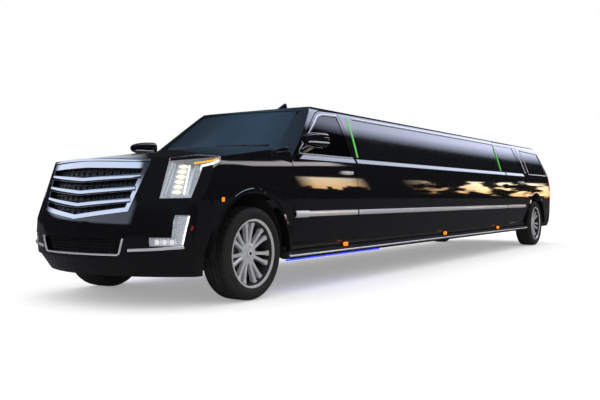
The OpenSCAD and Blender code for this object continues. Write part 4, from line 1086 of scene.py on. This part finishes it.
@dataclass
class Headlamp(Lamp):
    """Tall headlamp: lens stack, bright frame, light pipes and amber arm."""

    units: int = 6
    arm_end: float = 0.445
    arm_points: int = 15
    halvings: int = 24
    brow: tuple[Point, ...] = ((FORM.front_axle + 0.75, 0.0, 1.186), (0.138, 0.0, 0.990))

    def arm(self, mesh: bmesh.types.BMesh, start: Point, rise: float, width: float) -> None:
        """Run a bar from the nose along the arm on the flank.

        Args:
            mesh: Mesh that takes the bar.
            start: Distance from centre, height and depth of its front end.
            rise: Height of its rear end.
            width: Bar width.
        """
        first = FORM.nose_point(self.side * start[0], start[1], -start[2])
        last = FORM.front_axle + self.arm_end
        path = []
        for i in range(self.arm_points):
            t = i / (self.arm_points - 1)
            x, z = first.x + (last - first.x) * t, start[1] + (rise - start[1]) * t
            low, high = start[0], FORM.side_y(z, start[2])
            for _ in range(self.halvings):
                mid = (low + high) / 2
                low, high = (mid, high) if FORM.nose_x(mid, z, start[2]) > x else (low, mid)
            path.append(Vector((x, self.side * low, z)))
        sweep(mesh, path, self.arm_out, strip_section(width, 0.008))

    def arm_out(self, at: Vector) -> Vector:
        """Return the outward direction round the front corner."""
        centre = Vector((FORM.front_axle + 0.497, self.side * 0.562, at.z))
        away = at - centre
        return Vector((max(away.x, 0.0), away.y, 0.0)).normalized()

    def build(self) -> None:
        """Build the whole lamp."""
        self.shells()
        bezel, glow, pipe, amber = bmesh.new(), bmesh.new(), bmesh.new(), bmesh.new()
        for i in range(self.units):
            self.unit(bezel, glow, 0.798, 0.930 + 0.0412 * i, (0.098, 0.039))
        self.line(bezel, ((0.728, 0.893, 0.014), (0.746, 1.165, 0.014)), 0.034, 0.010)
        self.line(bezel, ((0.762, 0.893, 0.060), (0.772, 1.165, 0.060)), 0.030, 0.010)
        self.line(pipe, ((0.862, 0.918, 0.016), (0.850, 1.150, 0.016)), 0.010, 0.010)
        self.line(bezel, ((0.890, 0.916, 0.020), (0.888, 1.148, 0.020)), 0.026, 0.008)
        self.line(pipe, ((0.918, 0.912, 0.014), (0.930, 1.020, 0.014), (0.922, 1.142, 0.014)), 0.016, 0.009)
        self.arm(pipe, (0.918, 1.148, 0.014), 1.193, 0.014)
        self.arm(amber, (0.872, 1.168, 0.013), 1.207, 0.015)
        # The bezels' glow is painted light in place of the light that the clear cover keeps out.
        for name, mesh, finish, slot in (("bezels_painted_glow", bezel, CHROME_PAINTED_GLOW, "chrome"),
                                         ("lenses", glow, LAMP_WARM, "lamp_glass"),
                                         ("light_pipes", pipe, LAMP_WHITE, "lamp_glass"),
                                         ("amber_arm", amber, LAMP_YELLOW, "lamp_glass")):
            publish(f"headlamp_{name}_{self.label}", mesh, finish, "body", 50.0)


@dataclass
class FogLamp(Lamp):
    """Corner lamp: square lenses, ribbed reflector and light pipe."""

    ribs: int = 15

    def build(self) -> None:
        """Build the whole lamp."""
        self.shells()
        bezel, glow, pipe = bmesh.new(), bmesh.new(), bmesh.new()
        for y in (0.722, 0.772, 0.820):
            self.unit(bezel, glow, y, 0.546, (0.046, 0.052))
        for i in range(self.ribs):
            z = 0.528 + 0.0152 * i
            lean = 0.034 * (z - 0.512) / 0.244
            self.line(bezel, ((0.846 + lean * 0.4, z, 0.030), (0.888 + lean, z, 0.024)), 0.009, 0.010)
        self.line(pipe, ((0.898, 0.524, 0.010), (0.929, 0.746, 0.010)), 0.013, 0.006)
        # Painted light: the bezels' glow and the unlit lenses' glow stand in for light the clear cover keeps
        # out.
        for name, mesh, finish, slot in (("bezels_painted_glow", bezel, CHROME_PAINTED_GLOW, "chrome"),
                                         ("lenses", glow, FOG_LENS_PAINTED_GLOW, "lamp_glass"),
                                         ("light_pipe", pipe, LAMP_WHITE, "lamp_glass")):
            publish(f"fog_lamp_{name}_{self.label}", mesh, finish, "body", 50.0)


@dataclass
class Mirror:
    """Outside mirror: rounded shell, arm and glass."""

    label: str
    side: int
    back: float = -0.870
    ahead: float = -0.580
    centre: Pair = (1.136, 1.437)
    half: Pair = (0.094, 0.074)
    band_drop: float = 0.028
    power: float = 0.62
    points: int = 28

    def section(self, x: float, scale: float) -> list[Vector]:
        """Return one rounded cross section of the shell."""
        shape = []
        for i in range(self.points):
            turn = 2 * math.pi * i / self.points
            a, b = math.cos(turn), math.sin(turn)
            y = self.centre[0] + self.half[0] * scale * math.copysign(abs(a) ** self.power, a)
            z = self.centre[1] + self.half[1] * scale * math.copysign(abs(b) ** self.power, b)
            shape.append(Vector((FORM.front_axle + x, self.side * y, z)))
        return shape

    @staticmethod
    def swell(t: float) -> float:
        """Return the shell's scale from its front end, 0, to its back, 1."""
        return 0.30 + 0.70 * math.sin(math.pi / 2 * t ** 0.7)

    def build(self) -> None:
        """Build the mirror."""
        shell, body = bmesh.new(), f"door_front_{self.label}"
        rings = []
        for i in range(12):
            t = i / 11
            rings.append(self.section(self.ahead + (self.back - self.ahead) * t, self.swell(t)))
        rings.append(self.section(self.back + 0.004, 0.93))
        rings.append(self.section(self.back + 0.016, 0.91))
        loft(shell, rings)
        foot_y = FORM.side_y(1.335) + 0.001
        rings = []
        for i in range(7):
            t = i / 6
            y, z, half = foot_y + (1.075 - foot_y) * t, 1.335 + 0.050 * t, 0.019 - 0.003 * t
            shape = [(-0.140, 0.0), (-0.128, half), (-0.052, half), (-0.040, 0.0), (-0.052, -half),
                     (-0.128, -half)]
            rings.append([Vector((FORM.front_axle - 0.72 + a, self.side * y, z + b)) for a, b in shape])
        loft(shell, rings)
        publish(f"mirror_shell_{self.label}", shell, PAINT, body, 40.0, (f"mirror_{self.label}",))
        path = []
        for i in [*range(9, 0, -1), *range(1, 12)]:
            t = i / 11
            scale, outer = self.swell(t), 1 if len(path) > 8 else -1
            low = (self.band_drop / (self.half[1] * scale)) ** (1 / self.power)
            wide = math.sqrt(max(0.0, 1 - low * low)) ** self.power
            y = self.centre[0] + outer * self.half[0] * scale * wide
            path.append(Vector((FORM.front_axle + self.ahead + (self.back - self.ahead) * t, self.side * y,
                                self.centre[1] - self.band_drop)))
        middle = Vector((FORM.front_axle - 0.80, self.side * self.centre[0], self.centre[1] - self.band_drop))
        lay(f"mirror_band_{self.label}", path, lambda at: (at - middle).normalized(),
            strip_section(0.013, 0.004), BRIGHT, body)
        glass = bmesh.new()
        loft(glass, [self.section(self.back + 0.012, 0.90), self.section(self.back + 0.008, 0.89)])
        publish(f"mirror_glass_{self.label}", glass, CHROME, body, 30.0)


class Wipers:
    """Two wipers parked on the windshield."""

    def build(self) -> None:
        """Build arms and blades."""
        for label, start, end in (("left", 0.10, 0.68), ("right", -0.62, -0.02)):
            mesh, path = bmesh.new(), []
            for i in range(11):
                t = i / 10
                y = start + (end - start) * t
                above = Vector((FORM.front_axle - 0.10, y, 1.376 + 0.012 * t))
                point, normal = touch("windshield", above, Vector((-1.0, 0.0, 0.0)))
                path.append(point + normal * 0.012)
            sweep(mesh, path, lambda _: Vector((0.8, 0.0, 0.6)), strip_section(0.014, 0.010))
            arm = [path[0] + Vector((0.060, 0.0, -0.020)), path[0] + Vector((0.036, 0.06, 0.012)),
                   path[3] + Vector((0.010, 0.0, 0.010)), path[6] + Vector((0.004, 0.0, 0.008))]
            sweep(mesh, arm, lambda _: Vector((0.8, 0.0, 0.6)), strip_section(0.018, 0.008))
            publish(f"wiper_{label}", mesh, TRIM, "body", 40.0)


class Antenna:
    """Fin on the roof, drawn over the plain fin of the roof panel."""

    points: int = 24
    levels: tuple[tuple[float, float, float, float], ...] = (
        (-0.010, -1.945, -1.690, 0.024), (0.030, -1.938, -1.758, 0.019), (0.064, -1.928, -1.822, 0.012),
        (0.088, -1.916, -1.866, 0.006), (0.094, -1.906, -1.884, 0.003))

    def build(self) -> None:
        """Build the fin."""
        mesh, rings = bmesh.new(), []
        for high, back, ahead, half in self.levels:
            middle, reach = (back + ahead) / 2, (ahead - back) / 2
            turns = [2 * math.pi * i / self.points for i in range(self.points)]
            rings.append([Vector((FORM.front_axle + middle + reach * math.cos(a), half * math.sin(a),
                                  FORM.roof_height + high)) for a in turns])
        loft(mesh, rings)
        publish("antenna_fin", mesh, PAINT, "body", 50.0)


class Rear:
    """Bright bar, reflectors and tail pipes at the back."""

    def build(self) -> None:
        """Build the rear details."""
        back, inward = FORM.tail - 0.4, Vector((1.0, 0.0, 0.0))
        lens, pipe = bmesh.new(), bmesh.new()
        path = [touch("tailgate", Vector((back, y, 1.130)), inward)[0]
                for y in (-0.42, -0.28, -0.14, 0.0, 0.14, 0.28, 0.42)]
        lay("tailgate_bar", path, lambda _: -inward, strip_section(0.046, 0.016), CHROME, "tailgate")
        for side in (-1, 1):
            at, out = touch("rear_bumper", Vector((back, side * 0.72, 0.560)), inward)
            block(lens, (0.010, 0.170, 0.034), facing(at + out * 0.003, out), 0.004)
            tube = [(0.030, 0.0), (0.034, 0.0), (0.034, 0.16), (0.030, 0.16)]
            centre = Vector((FORM.tail + 0.060, side * 0.62, 0.300))
            verts = [pipe.verts.new(centre + Vector((x, 0.0, r))) for r, x in tube]
            edges = [pipe.edges.new(pair) for pair in zip(verts, verts[1:] + verts[:1])]
            bmesh.ops.spin(pipe, geom=verts + edges, cent=centre, axis=(1.0, 0.0, 0.0), angle=2 * math.pi,
                           steps=32, use_merge=True)
        publish("rear_reflectors", lens, LAMP_RED, "body")
        publish("tail_pipes", pipe, CHROME, "body", 40.0)


@dataclass
class Pad:
    """One cushion, simulated as stuffed leather.

    Attributes:
        name: Piece name.
        size: Length, width and height.
        channels: Offsets across the width at which a seam is sewn.
        body: Body that carries it.
    """

    name: str
    size: Point
    channels: tuple[float, ...] = ()
    body: str = "body"
    cell: float = 0.014
    cap: float = 0.018
    rounding: float = 0.030
    groove: float = 0.012
    inset: float = 0.026
    overhang: float = 0.016
    pressure: float = 4.0
    frames: int = 20
    shapes: ClassVar[dict[tuple, bpy.types.Mesh]] = {}

    def start(self) -> bpy.types.Mesh:
        """Return the rounded block that the cushion is blown up from."""
        mesh = bmesh.new()
        size = [side - 2 * self.cap * 0.8 for side in self.size]
        block(mesh, tuple(size), Matrix(), self.rounding, 3)
        data = bpy.data.meshes.new(f"{self.name}_start")
        mesh.to_mesh(data)
        mesh.free()
        return data

    @staticmethod
    def evaluated(piece: bpy.types.Object) -> bpy.types.Mesh:
        """Return a copy of a piece's mesh with its modifiers applied."""
        graph = bpy.context.evaluated_depsgraph_get()
        return bpy.data.meshes.new_from_object(piece.evaluated_get(graph))

    def blown(self) -> bpy.types.Mesh:
        """Return the stuffed form, simulated once for each size."""
        key = (self.size, self.cell)
        if key in Pad.shapes:
            return Pad.shapes[key]
        data = self.start()
        piece = bpy.data.objects.new(data.name, data)
        bpy.context.scene.collection.objects.link(piece)
        remesh = piece.modifiers.new("cells", "REMESH")
        remesh.mode, remesh.voxel_size = "VOXEL", self.cell
        solid = self.evaluated(piece)
        piece.modifiers.clear()
        piece.data = solid
        rest = [v.co.copy() for v in solid.vertices]
        cloth = piece.modifiers.new("stuffing", "CLOTH")
        cloth.settings.quality = 4
        cloth.settings.use_pressure = True
        cloth.settings.uniform_pressure_force = self.pressure
        cloth.settings.effector_weights.gravity = 0.0
        cloth.point_cache.frame_start, cloth.point_cache.frame_end = 1, self.frames
        scene = bpy.context.scene
        for step in range(1, self.frames + 1):
            scene.frame_set(step)
        swollen = self.evaluated(piece)
        for before, vert in zip(rest, swollen.vertices):
            move = vert.co - before
            vert.co = before + move * min(1.0, self.cap / max(move.length, 1e-6))
        scene.frame_set(1)
        solid = swollen
        bpy.data.objects.remove(piece)
        Pad.shapes[key] = solid
        return solid

    def build(self, place: Matrix, replaces: Sequence[str]) -> None:
        """Lay the cushion in place.

        Args:
            place: Where its centre sits, top side up along its own Z.
            replaces: CAD nodes that it stands for.
        """
        mesh = bmesh.new()
        mesh.from_mesh(self.blown())
        half = self.size[2] / 2
        for vert in mesh.verts:
            top = min(max(vert.co.z / half, 0.0), 1.0)
            sink = sum(math.exp(-((vert.co.y - at) / self.groove) ** 2) for at in self.channels)
            vert.co.z -= self.groove * sink * top ** 2
        reaches = [max(max(v.co[i] for v in mesh.verts), -min(v.co[i] for v in mesh.verts)) for i in range(3)]
        for vert in mesh.verts:
            for i, reach in enumerate(reaches):
                limit = self.size[i] / 2
                if reach > limit:
                    vert.co[i] *= limit / reach
        seam = bmesh.new()
        a, b, z = self.size[0] / 2 - self.inset, self.size[1] / 2 - self.inset, half * 0.62
        corners = [(a, b), (-a, b), (-a, -b), (a, -b), (a, b)]
        path = [Vector((x, y, z)) for x, y in spaced(corners, 0.05)][:-1]
        sweep(seam, [p + Vector((math.copysign(self.overhang, p.x) if abs(p.x) > a - 1e-4 else 0.0,
                                 math.copysign(self.overhang, p.y) if abs(p.y) > b - 1e-4 else 0.0, 0.0))
                     for p in path],
              lambda _: Vector((0.0, 0.0, 1.0)), rod_section(0.005, 8), True)
        merge(mesh, seam)
        bmesh.ops.transform(mesh, matrix=place, verts=mesh.verts)
        piece = publish(self.name, mesh, HIDE, self.body, 60.0, replaces)


UPRIGHT = Matrix.Rotation(math.pi / 2, 4, "Y")
ACROSS = Matrix.Rotation(math.pi / 2, 4, "Z")


class Cabin:
    """Padded front seats and lounge, with dash details."""

    floor: float = 0.5906

    def front_seats(self) -> None:
        """Build base, back and headrest of both front seats."""
        for label, side in SIDES:
            x, y, node = FORM.front_axle - 1.74, side * 0.40, (f"front_seat_{label}",)
            base = Matrix.Translation((x + 0.335, y, self.floor + 0.088))
            Pad(f"seat_base_{label}", (0.450, 0.495, 0.165), (-0.14, 0.14)).build(base, node)
            tilt = Matrix.Rotation(math.radians(-14.0), 4, "Y")
            lean = Matrix.Translation((x - 0.03, y, self.floor)) @ tilt
            back = lean @ Matrix.Translation((0.077, 0.0, 0.405)) @ UPRIGHT
            Pad(f"seat_back_{label}", (0.700, 0.495, 0.145), (-0.14, 0.14)).build(back, node)
            rest = Matrix.Translation((x - 0.175, y, self.floor + 0.795)) @ UPRIGHT
            Pad(f"headrest_{label}", (0.185, 0.275, 0.088), rounding=0.024).build(rest, node)

    def lounge(self) -> None:
        """Build the side bench and the rear bench in sections."""
        rear, right = FORM.rear_axle + 0.59, -0.82
        node = ("lounge_seat",)
        first, last, count = rear + 0.56, self.bench_end(), 4
        each = (last - first) / count
        for i in range(count):
            x = first + each * (i + 0.5)
            seat = Matrix.Translation((x, right + 0.350, self.floor + 0.166)) @ ACROSS
            Pad(f"bench_seat_{i + 1}", (0.415, round(each - 0.004, 4), 0.325), (0.0,)).build(seat, node)
            back = Matrix.Translation((x, right + 0.070, self.floor + 0.350)) @ ACROSS @ UPRIGHT
            Pad(f"bench_back_{i + 1}", (0.695, round(each - 0.004, 4), 0.136), (0.0,)).build(back, node)
        for i in range(3):
            y = -0.820 + 1.640 / 3 * (i + 0.5)
            seat = Matrix.Translation((rear + 0.355, y, self.floor + 0.166))
            Pad(f"rear_seat_{i + 1}", (0.405, 0.5425, 0.325), (0.0,)).build(seat, node)
            back = Matrix.Translation((rear + 0.075, y, self.floor + 0.390)) @ UPRIGHT
            Pad(f"rear_back_{i + 1}", (0.775, 0.5425, 0.146), (0.0,)).build(back, node)

    @staticmethod
    def bench_end() -> float:
        """Return how far forward the side bench reaches."""
        return max(v.co.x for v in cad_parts["lounge_seat"].data.vertices)

    def dash(self) -> None:
        """Set the instrument hood, screen and vents on the dash."""
        low = min(v.co.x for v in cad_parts["dashboard"].data.vertices)
        top = max(v.co.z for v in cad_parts["dashboard"].data.vertices)
        mesh, shine = bmesh.new(), bmesh.new()
        block(mesh, (0.200, 0.360, 0.050), Matrix.Translation((low + 0.140, 0.400, top + 0.020)), 0.016, 3)
        for y in (-0.66, -0.16, 0.16, 0.66):
            block(mesh, (0.016, 0.130, 0.060), Matrix.Translation((low - 0.004, y, top - 0.120)), 0.006)
        block(shine, (0.010, 0.250, 0.130), Matrix.Translation((low - 0.004, 0.0, top - 0.240)), 0.004)
        publish("dash_hood_and_vents", mesh, PIANO, "body")
        publish("dash_screen", shine, BLACK_GLASS, "body")

    def build(self) -> None:
        """Build the cabin."""
        self.front_seats()
        self.lounge()
        self.dash()


@dataclass
class Carried:
    """CAD nodes that stay and get a finish."""

    finishes: dict[str, Finish]
    crease: float = 28.0

    def dress(self) -> None:
        """Give each node its finish and even shading."""
        for name, finish in self.finishes.items():
            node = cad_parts[name]
            data = node.data
            data.materials.clear()
            data.materials.append(SHOP.get(finish))
            if "custom_normal" in data.attributes:
                data.attributes.remove(data.attributes["custom_normal"])
            data.polygons.foreach_set("use_smooth", [True] * len(data.polygons))
            weld = node.modifiers.new("join_facets", "WELD")
            weld.merge_threshold = FACET_WELD
            split = node.modifiers.new("keep_creases", "EDGE_SPLIT")
            split.split_angle = math.radians(self.crease)
            LOG.info("%s carries %s", name, finish.name)


def carried_finishes() -> dict[str, Finish]:
    """Return the finish of every CAD node by its name."""
    table: dict[str, Finish] = {}
    starts: tuple[tuple[str, Finish], ...] = (
        ("door_glass_front", TINTED_GLASS), ("door_glass_rear", BLACK_GLASS), ("side_glass", BLACK_GLASS),
        ("quarter_glass", BLACK_GLASS), ("tailgate_glass", BLACK_GLASS), ("windshield", SCREEN_GLASS_PAINTED_SKY),
        ("door", PAINT), ("body_side", PAINT), ("roof", PAINT), ("fender", PAINT), ("front_bumper", PAINT),
        ("rear_bumper", PAINT), ("hood", PAINT), ("tailgate", PAINT), ("mirror", PAINT),
        ("grille_mesh", MESH_BLACK), ("grille", CHROME), ("headlamp", LAMP_WHITE), ("fog_lamp", LAMP_WHITE),
        ("tail_lamp", LENS_RED), ("running_board", STEP), ("cowl", TRIM), ("wheel_liner", TRIM),
        ("tyre", RUBBER), ("rim", CHROME), ("chassis", FRAME_STEEL), ("front_suspension", FRAME_STEEL),
        ("rear_axle", CAST), ("knuckle", CAST), ("engine", ALLOY), ("floor", CARPET), ("dashboard", PIANO),
        ("steering", PIANO), ("front_seat", HIDE), ("lounge", HIDE))
    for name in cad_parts:
        table[name] = next(finish for start, finish in starts if name.startswith(start))
    return table


BLACK: Color = (0.0, 0.0, 0.0)
WHITE: Color = (1.0, 1.0, 1.0)


@dataclass(frozen=True)
class Glow:
    """One part of the evening sky that glossy surfaces mirror: colour by height and strength by bearing."""

    rise: Stops
    around: Stops
    roofs: float = 0.0
    leaves: float = 0.0
    lean: float = 0.0
    pivot: float = 0.0


HORIZON: Stops = ((0.046, BLACK), (0.052, (4.2, 2.4, 1.0)), (0.090, (4.8, 3.2, 1.7)),
                  (0.124, (4.4, 3.6, 2.6)), (0.130, BLACK))
EVENING = (
    Glow(((0.0, (0.010, 0.010, 0.012)), (0.42, (0.016, 0.017, 0.020)), (0.6, (0.05, 0.06, 0.08)),
          (1.0, (0.08, 0.10, 0.14))),
         ((0.0, WHITE), (1.0, WHITE))),
    Glow(((0.39, BLACK), (0.47, (1.5, 1.6, 2.1)), (0.62, (1.7, 1.8, 2.3)), (1.0, (1.5, 1.65, 2.1))),
         ((0.05, BLACK), (0.13, WHITE), (0.255, WHITE), (0.285, BLACK)), lean=8.5, pivot=0.205),
    Glow(HORIZON, ((0.1565, BLACK), (0.1585, WHITE), (0.1675, WHITE), (0.1695, BLACK)), roofs=0.030,
         lean=1.05, pivot=0.164),
    Glow(HORIZON, ((0.182, BLACK), (0.187, (0.6, 0.6, 0.6)), (0.197, WHITE), (0.207, WHITE), (0.212, BLACK)),
         leaves=34.0, lean=1.05, pivot=0.164),
    Glow(((0.196, BLACK), (0.200, (2.2, 2.1, 2.0)), (0.222, (2.4, 2.3, 2.3)), (0.228, BLACK)),
         ((0.136, BLACK), (0.140, WHITE), (0.168, WHITE), (0.172, BLACK))),
    Glow(((0.15, BLACK), (0.21, (0.85, 0.95, 1.20)), (0.60, (0.70, 0.80, 1.05)), (0.75, BLACK)),
         ((0.430, BLACK), (0.465, WHITE), (0.729, WHITE), (0.738, BLACK))),
    Glow(((0.60, BLACK), (0.76, (0.06, 0.14, 0.22)), (0.86, (0.12, 0.26, 0.42)), (0.97, (0.03, 0.06, 0.09))),
         ((0.35, BLACK), (0.43, WHITE), (0.59, WHITE), (0.69, BLACK))),
    Glow(((0.02, BLACK), (0.04, (0.55, 0.55, 0.6)), (0.20, (0.6, 0.6, 0.65)), (0.23, BLACK)),
         ((0.380, BLACK), (0.384, WHITE), (0.41, WHITE), (0.42, BLACK))))


@dataclass
class Studio:
    """Pale floor, even light, mirrored evening sky and the photograph's camera."""

    place: Point = (9.212, 4.793, 0.901)
    yaw: float = 3.73443
    pitch: float = -0.00475
    lens: float = 42.96
    sensor: float = 36.0
    far: float = 500.0
    floor_size: float = 400.0
    floor_tone: tuple[float, ...] = (0.93, 0.93, 0.93, 1.0)
    floor_mirrored: tuple[float, ...] = (0.05, 0.05, 0.055, 1.0)
    floor_lift: float = 0.30
    skyline: float = 900.0
    roof_line: float = 0.050
    roof_blur: float = 0.004
    leaf_edge: Pair = (0.49, 0.56)

    def camera(self) -> None:
        """Set the camera."""
        data = bpy.data.cameras.new("photo_camera")
        data.lens = self.lens
        data.sensor_width = self.sensor
        data.clip_end = self.far
        camera = bpy.data.objects.new("photo_camera", data)
        bpy.context.scene.collection.objects.link(camera)
        camera.location = self.place
        look = Vector((math.cos(self.yaw) * math.cos(self.pitch), math.sin(self.yaw) * math.cos(self.pitch),
                       math.sin(self.pitch)))
        camera.rotation_mode = "QUATERNION"
        camera.rotation_quaternion = look.to_track_quat("-Z", "Y")
        bpy.context.scene.camera = camera

    def floor(self) -> None:
        """Lay the floor."""
        mesh = bmesh.new()
        bmesh.ops.create_grid(mesh, x_segments=2, y_segments=2, size=self.floor_size / 2)
        data = bpy.data.meshes.new("studio_floor")
        mesh.to_mesh(data)
        mesh.free()
        plane = bpy.data.objects.new("studio_floor", data)
        bpy.context.scene.collection.objects.link(plane)
        material = bpy.data.materials.new("studio_floor")
        material.use_nodes = True
        tree = material.node_tree
        shader, path = find(tree, "BSDF_PRINCIPLED"), add(tree, "LightPath").outputs
        feed(tree, shader, {"Base Color": self.floor_tone, "Roughness": 0.9, "Specular IOR Level": 0.0})
        plain = shader.outputs["BSDF"]
        dark = add(tree, "Emission", {"Color": self.floor_mirrored}).outputs["Emission"]
        pale = add(tree, "Emission", {"Strength": self.floor_lift}).outputs["Emission"]
        lift = add(tree, "AddShader", {0: plain, 1: pale}).outputs["Shader"]
        seen = add(tree, "MixShader", {"Fac": path["Is Camera Ray"], 1: plain, 2: lift}).outputs["Shader"]
        mix = add(tree, "MixShader", {"Fac": path["Is Glossy Ray"], 1: seen, 2: dark}).outputs["Shader"]
        feed(tree, find(tree, "OUTPUT_MATERIAL"), {"Surface": mix})
        data.materials.append(material)

    def light(self) -> None:
        """Set an even white world that glossy surfaces see as an evening street."""
        world = bpy.data.worlds.new("studio")
        world.use_nodes = True
        tree = world.node_tree
        plain = find(tree, "BACKGROUND")
        feed(tree, plain, {"Color": (*WHITE, 1.0)})
        view = add(tree, "TexCoord").outputs["Generated"]
        axes = add(tree, "SeparateXYZ", {"Vector": view}).outputs
        turn = reckon(tree, "ARCTAN2", axes["X"], reckon(tree, "MULTIPLY", axes["Y"], -1.0))
        bearing = add(tree, "MapRange",
                      {"Value": turn, "From Min": -math.pi, "From Max": math.pi}).outputs["Result"]
        color = None
        for glow in EVENING:
            height = axes["Z"]
            if glow.lean:
                tilt = reckon(tree, "MULTIPLY_ADD", bearing, glow.lean, height)
                height = reckon(tree, "SUBTRACT", tilt, glow.lean * glow.pivot)
            one = blend(tree, "MULTIPLY", self.ramp(tree, glow.rise, height),
                        self.ramp(tree, glow.around, bearing))
            if glow.roofs:
                one = blend(tree, "MULTIPLY", one, self.roofs(tree, bearing, height, glow.roofs))
            if glow.leaves:
                one = blend(tree, "MULTIPLY", one, self.leaves(tree, view, glow.leaves))
            color = one if color is None else blend(tree, "ADD", color, one)
        mirrored = add(tree, "Background", {"Color": color})
        mix = add(tree, "MixShader", {"Fac": add(tree, "LightPath").outputs["Is Glossy Ray"],
                                      1: plain.outputs["Background"], 2: mirrored.outputs["Background"]})
        feed(tree, find(tree, "OUTPUT_WORLD"), {"Surface": mix.outputs["Shader"]})
        bpy.context.scene.world = world
        bpy.context.scene.view_settings.view_transform = "Standard"

    def roofs(self, tree: bpy.types.NodeTree, bearing: bpy.types.NodeSocket, height: bpy.types.NodeSocket,
              amount: float) -> bpy.types.NodeSocket:
        """Return a mask whose lower edge is cut in steps, as by roofs.

        Args:
            tree: The world's tree.
            bearing: Socket with the bearing.
            height: Socket with the height.
            amount: Greatest height of a roof above the lowest.

        Returns:
            The socket with the mask.
        """
        step = reckon(tree, "FLOOR", reckon(tree, "MULTIPLY", bearing, self.skyline))
        noise = add(tree, "TexWhiteNoise", {"W": step}, noise_dimensions="1D").outputs["Value"]
        edge = ((self.roof_line, BLACK), (self.roof_line + self.roof_blur, WHITE))
        return self.ramp(tree, edge, reckon(tree, "MULTIPLY_ADD", noise, -amount, height))

    def leaves(self, tree: bpy.types.NodeTree, view: bpy.types.NodeSocket,
               scale: float) -> bpy.types.NodeSocket:
        """Return a mask broken up as by trees.

        Args:
            tree: The world's tree.
            view: Socket with the direction.
            scale: Scale of the leaves.

        Returns:
            The socket with the mask.
        """
        noise = add(tree, "TexNoise", {"Vector": view, "Scale": scale, "Detail": 5.0}).outputs["Fac"]
        dark, bright = self.leaf_edge
        return self.ramp(tree, ((dark, BLACK), (bright, WHITE)), noise)

    @staticmethod
    def ramp(tree: bpy.types.NodeTree, stops: Stops, value: bpy.types.NodeSocket) -> bpy.types.NodeSocket:
        """Return the colour that a ramp gives a value.

        Args:
            tree: The world's tree.
            stops: Places and colours of the ramp.
            value: Socket with the value.

        Returns:
            The socket with the colour.
        """
        node = add(tree, "ValToRGB", {"Fac": value})
        while len(node.color_ramp.elements) < len(stops):
            node.color_ramp.elements.new(0.5)
        for element, (at, tone) in zip(node.color_ramp.elements, stops):
            element.position, element.color = at, (*tone, 1.0)
        return node.outputs["Color"]

    def build(self) -> None:
        """Build the studio."""
        self.camera()
        self.floor()
        self.light()


def main() -> None:
    """Build every sub-assembly in order."""
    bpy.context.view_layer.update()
    Studio().build()
    Carried(carried_finishes()).dress()
    for label, x, side in (("front_left", FORM.front_axle, 1), ("front_right", FORM.front_axle, -1),
                           ("rear_left", FORM.rear_axle, 1), ("rear_right", FORM.rear_axle, -1)):
        Wheel(label, x, side).build()
    Nose().build()
    for label, side in SIDES:
        SideTrim(label, side).build()
        Headlamp(label, side, "headlamp").build()
        FogLamp(label, side, "fog_lamp").build()
        Mirror(label, side).build()
    for part in (Wipers(), Antenna(), Rear(), Cabin()):
        part.build()


if __name__ == "__main__":
    main()
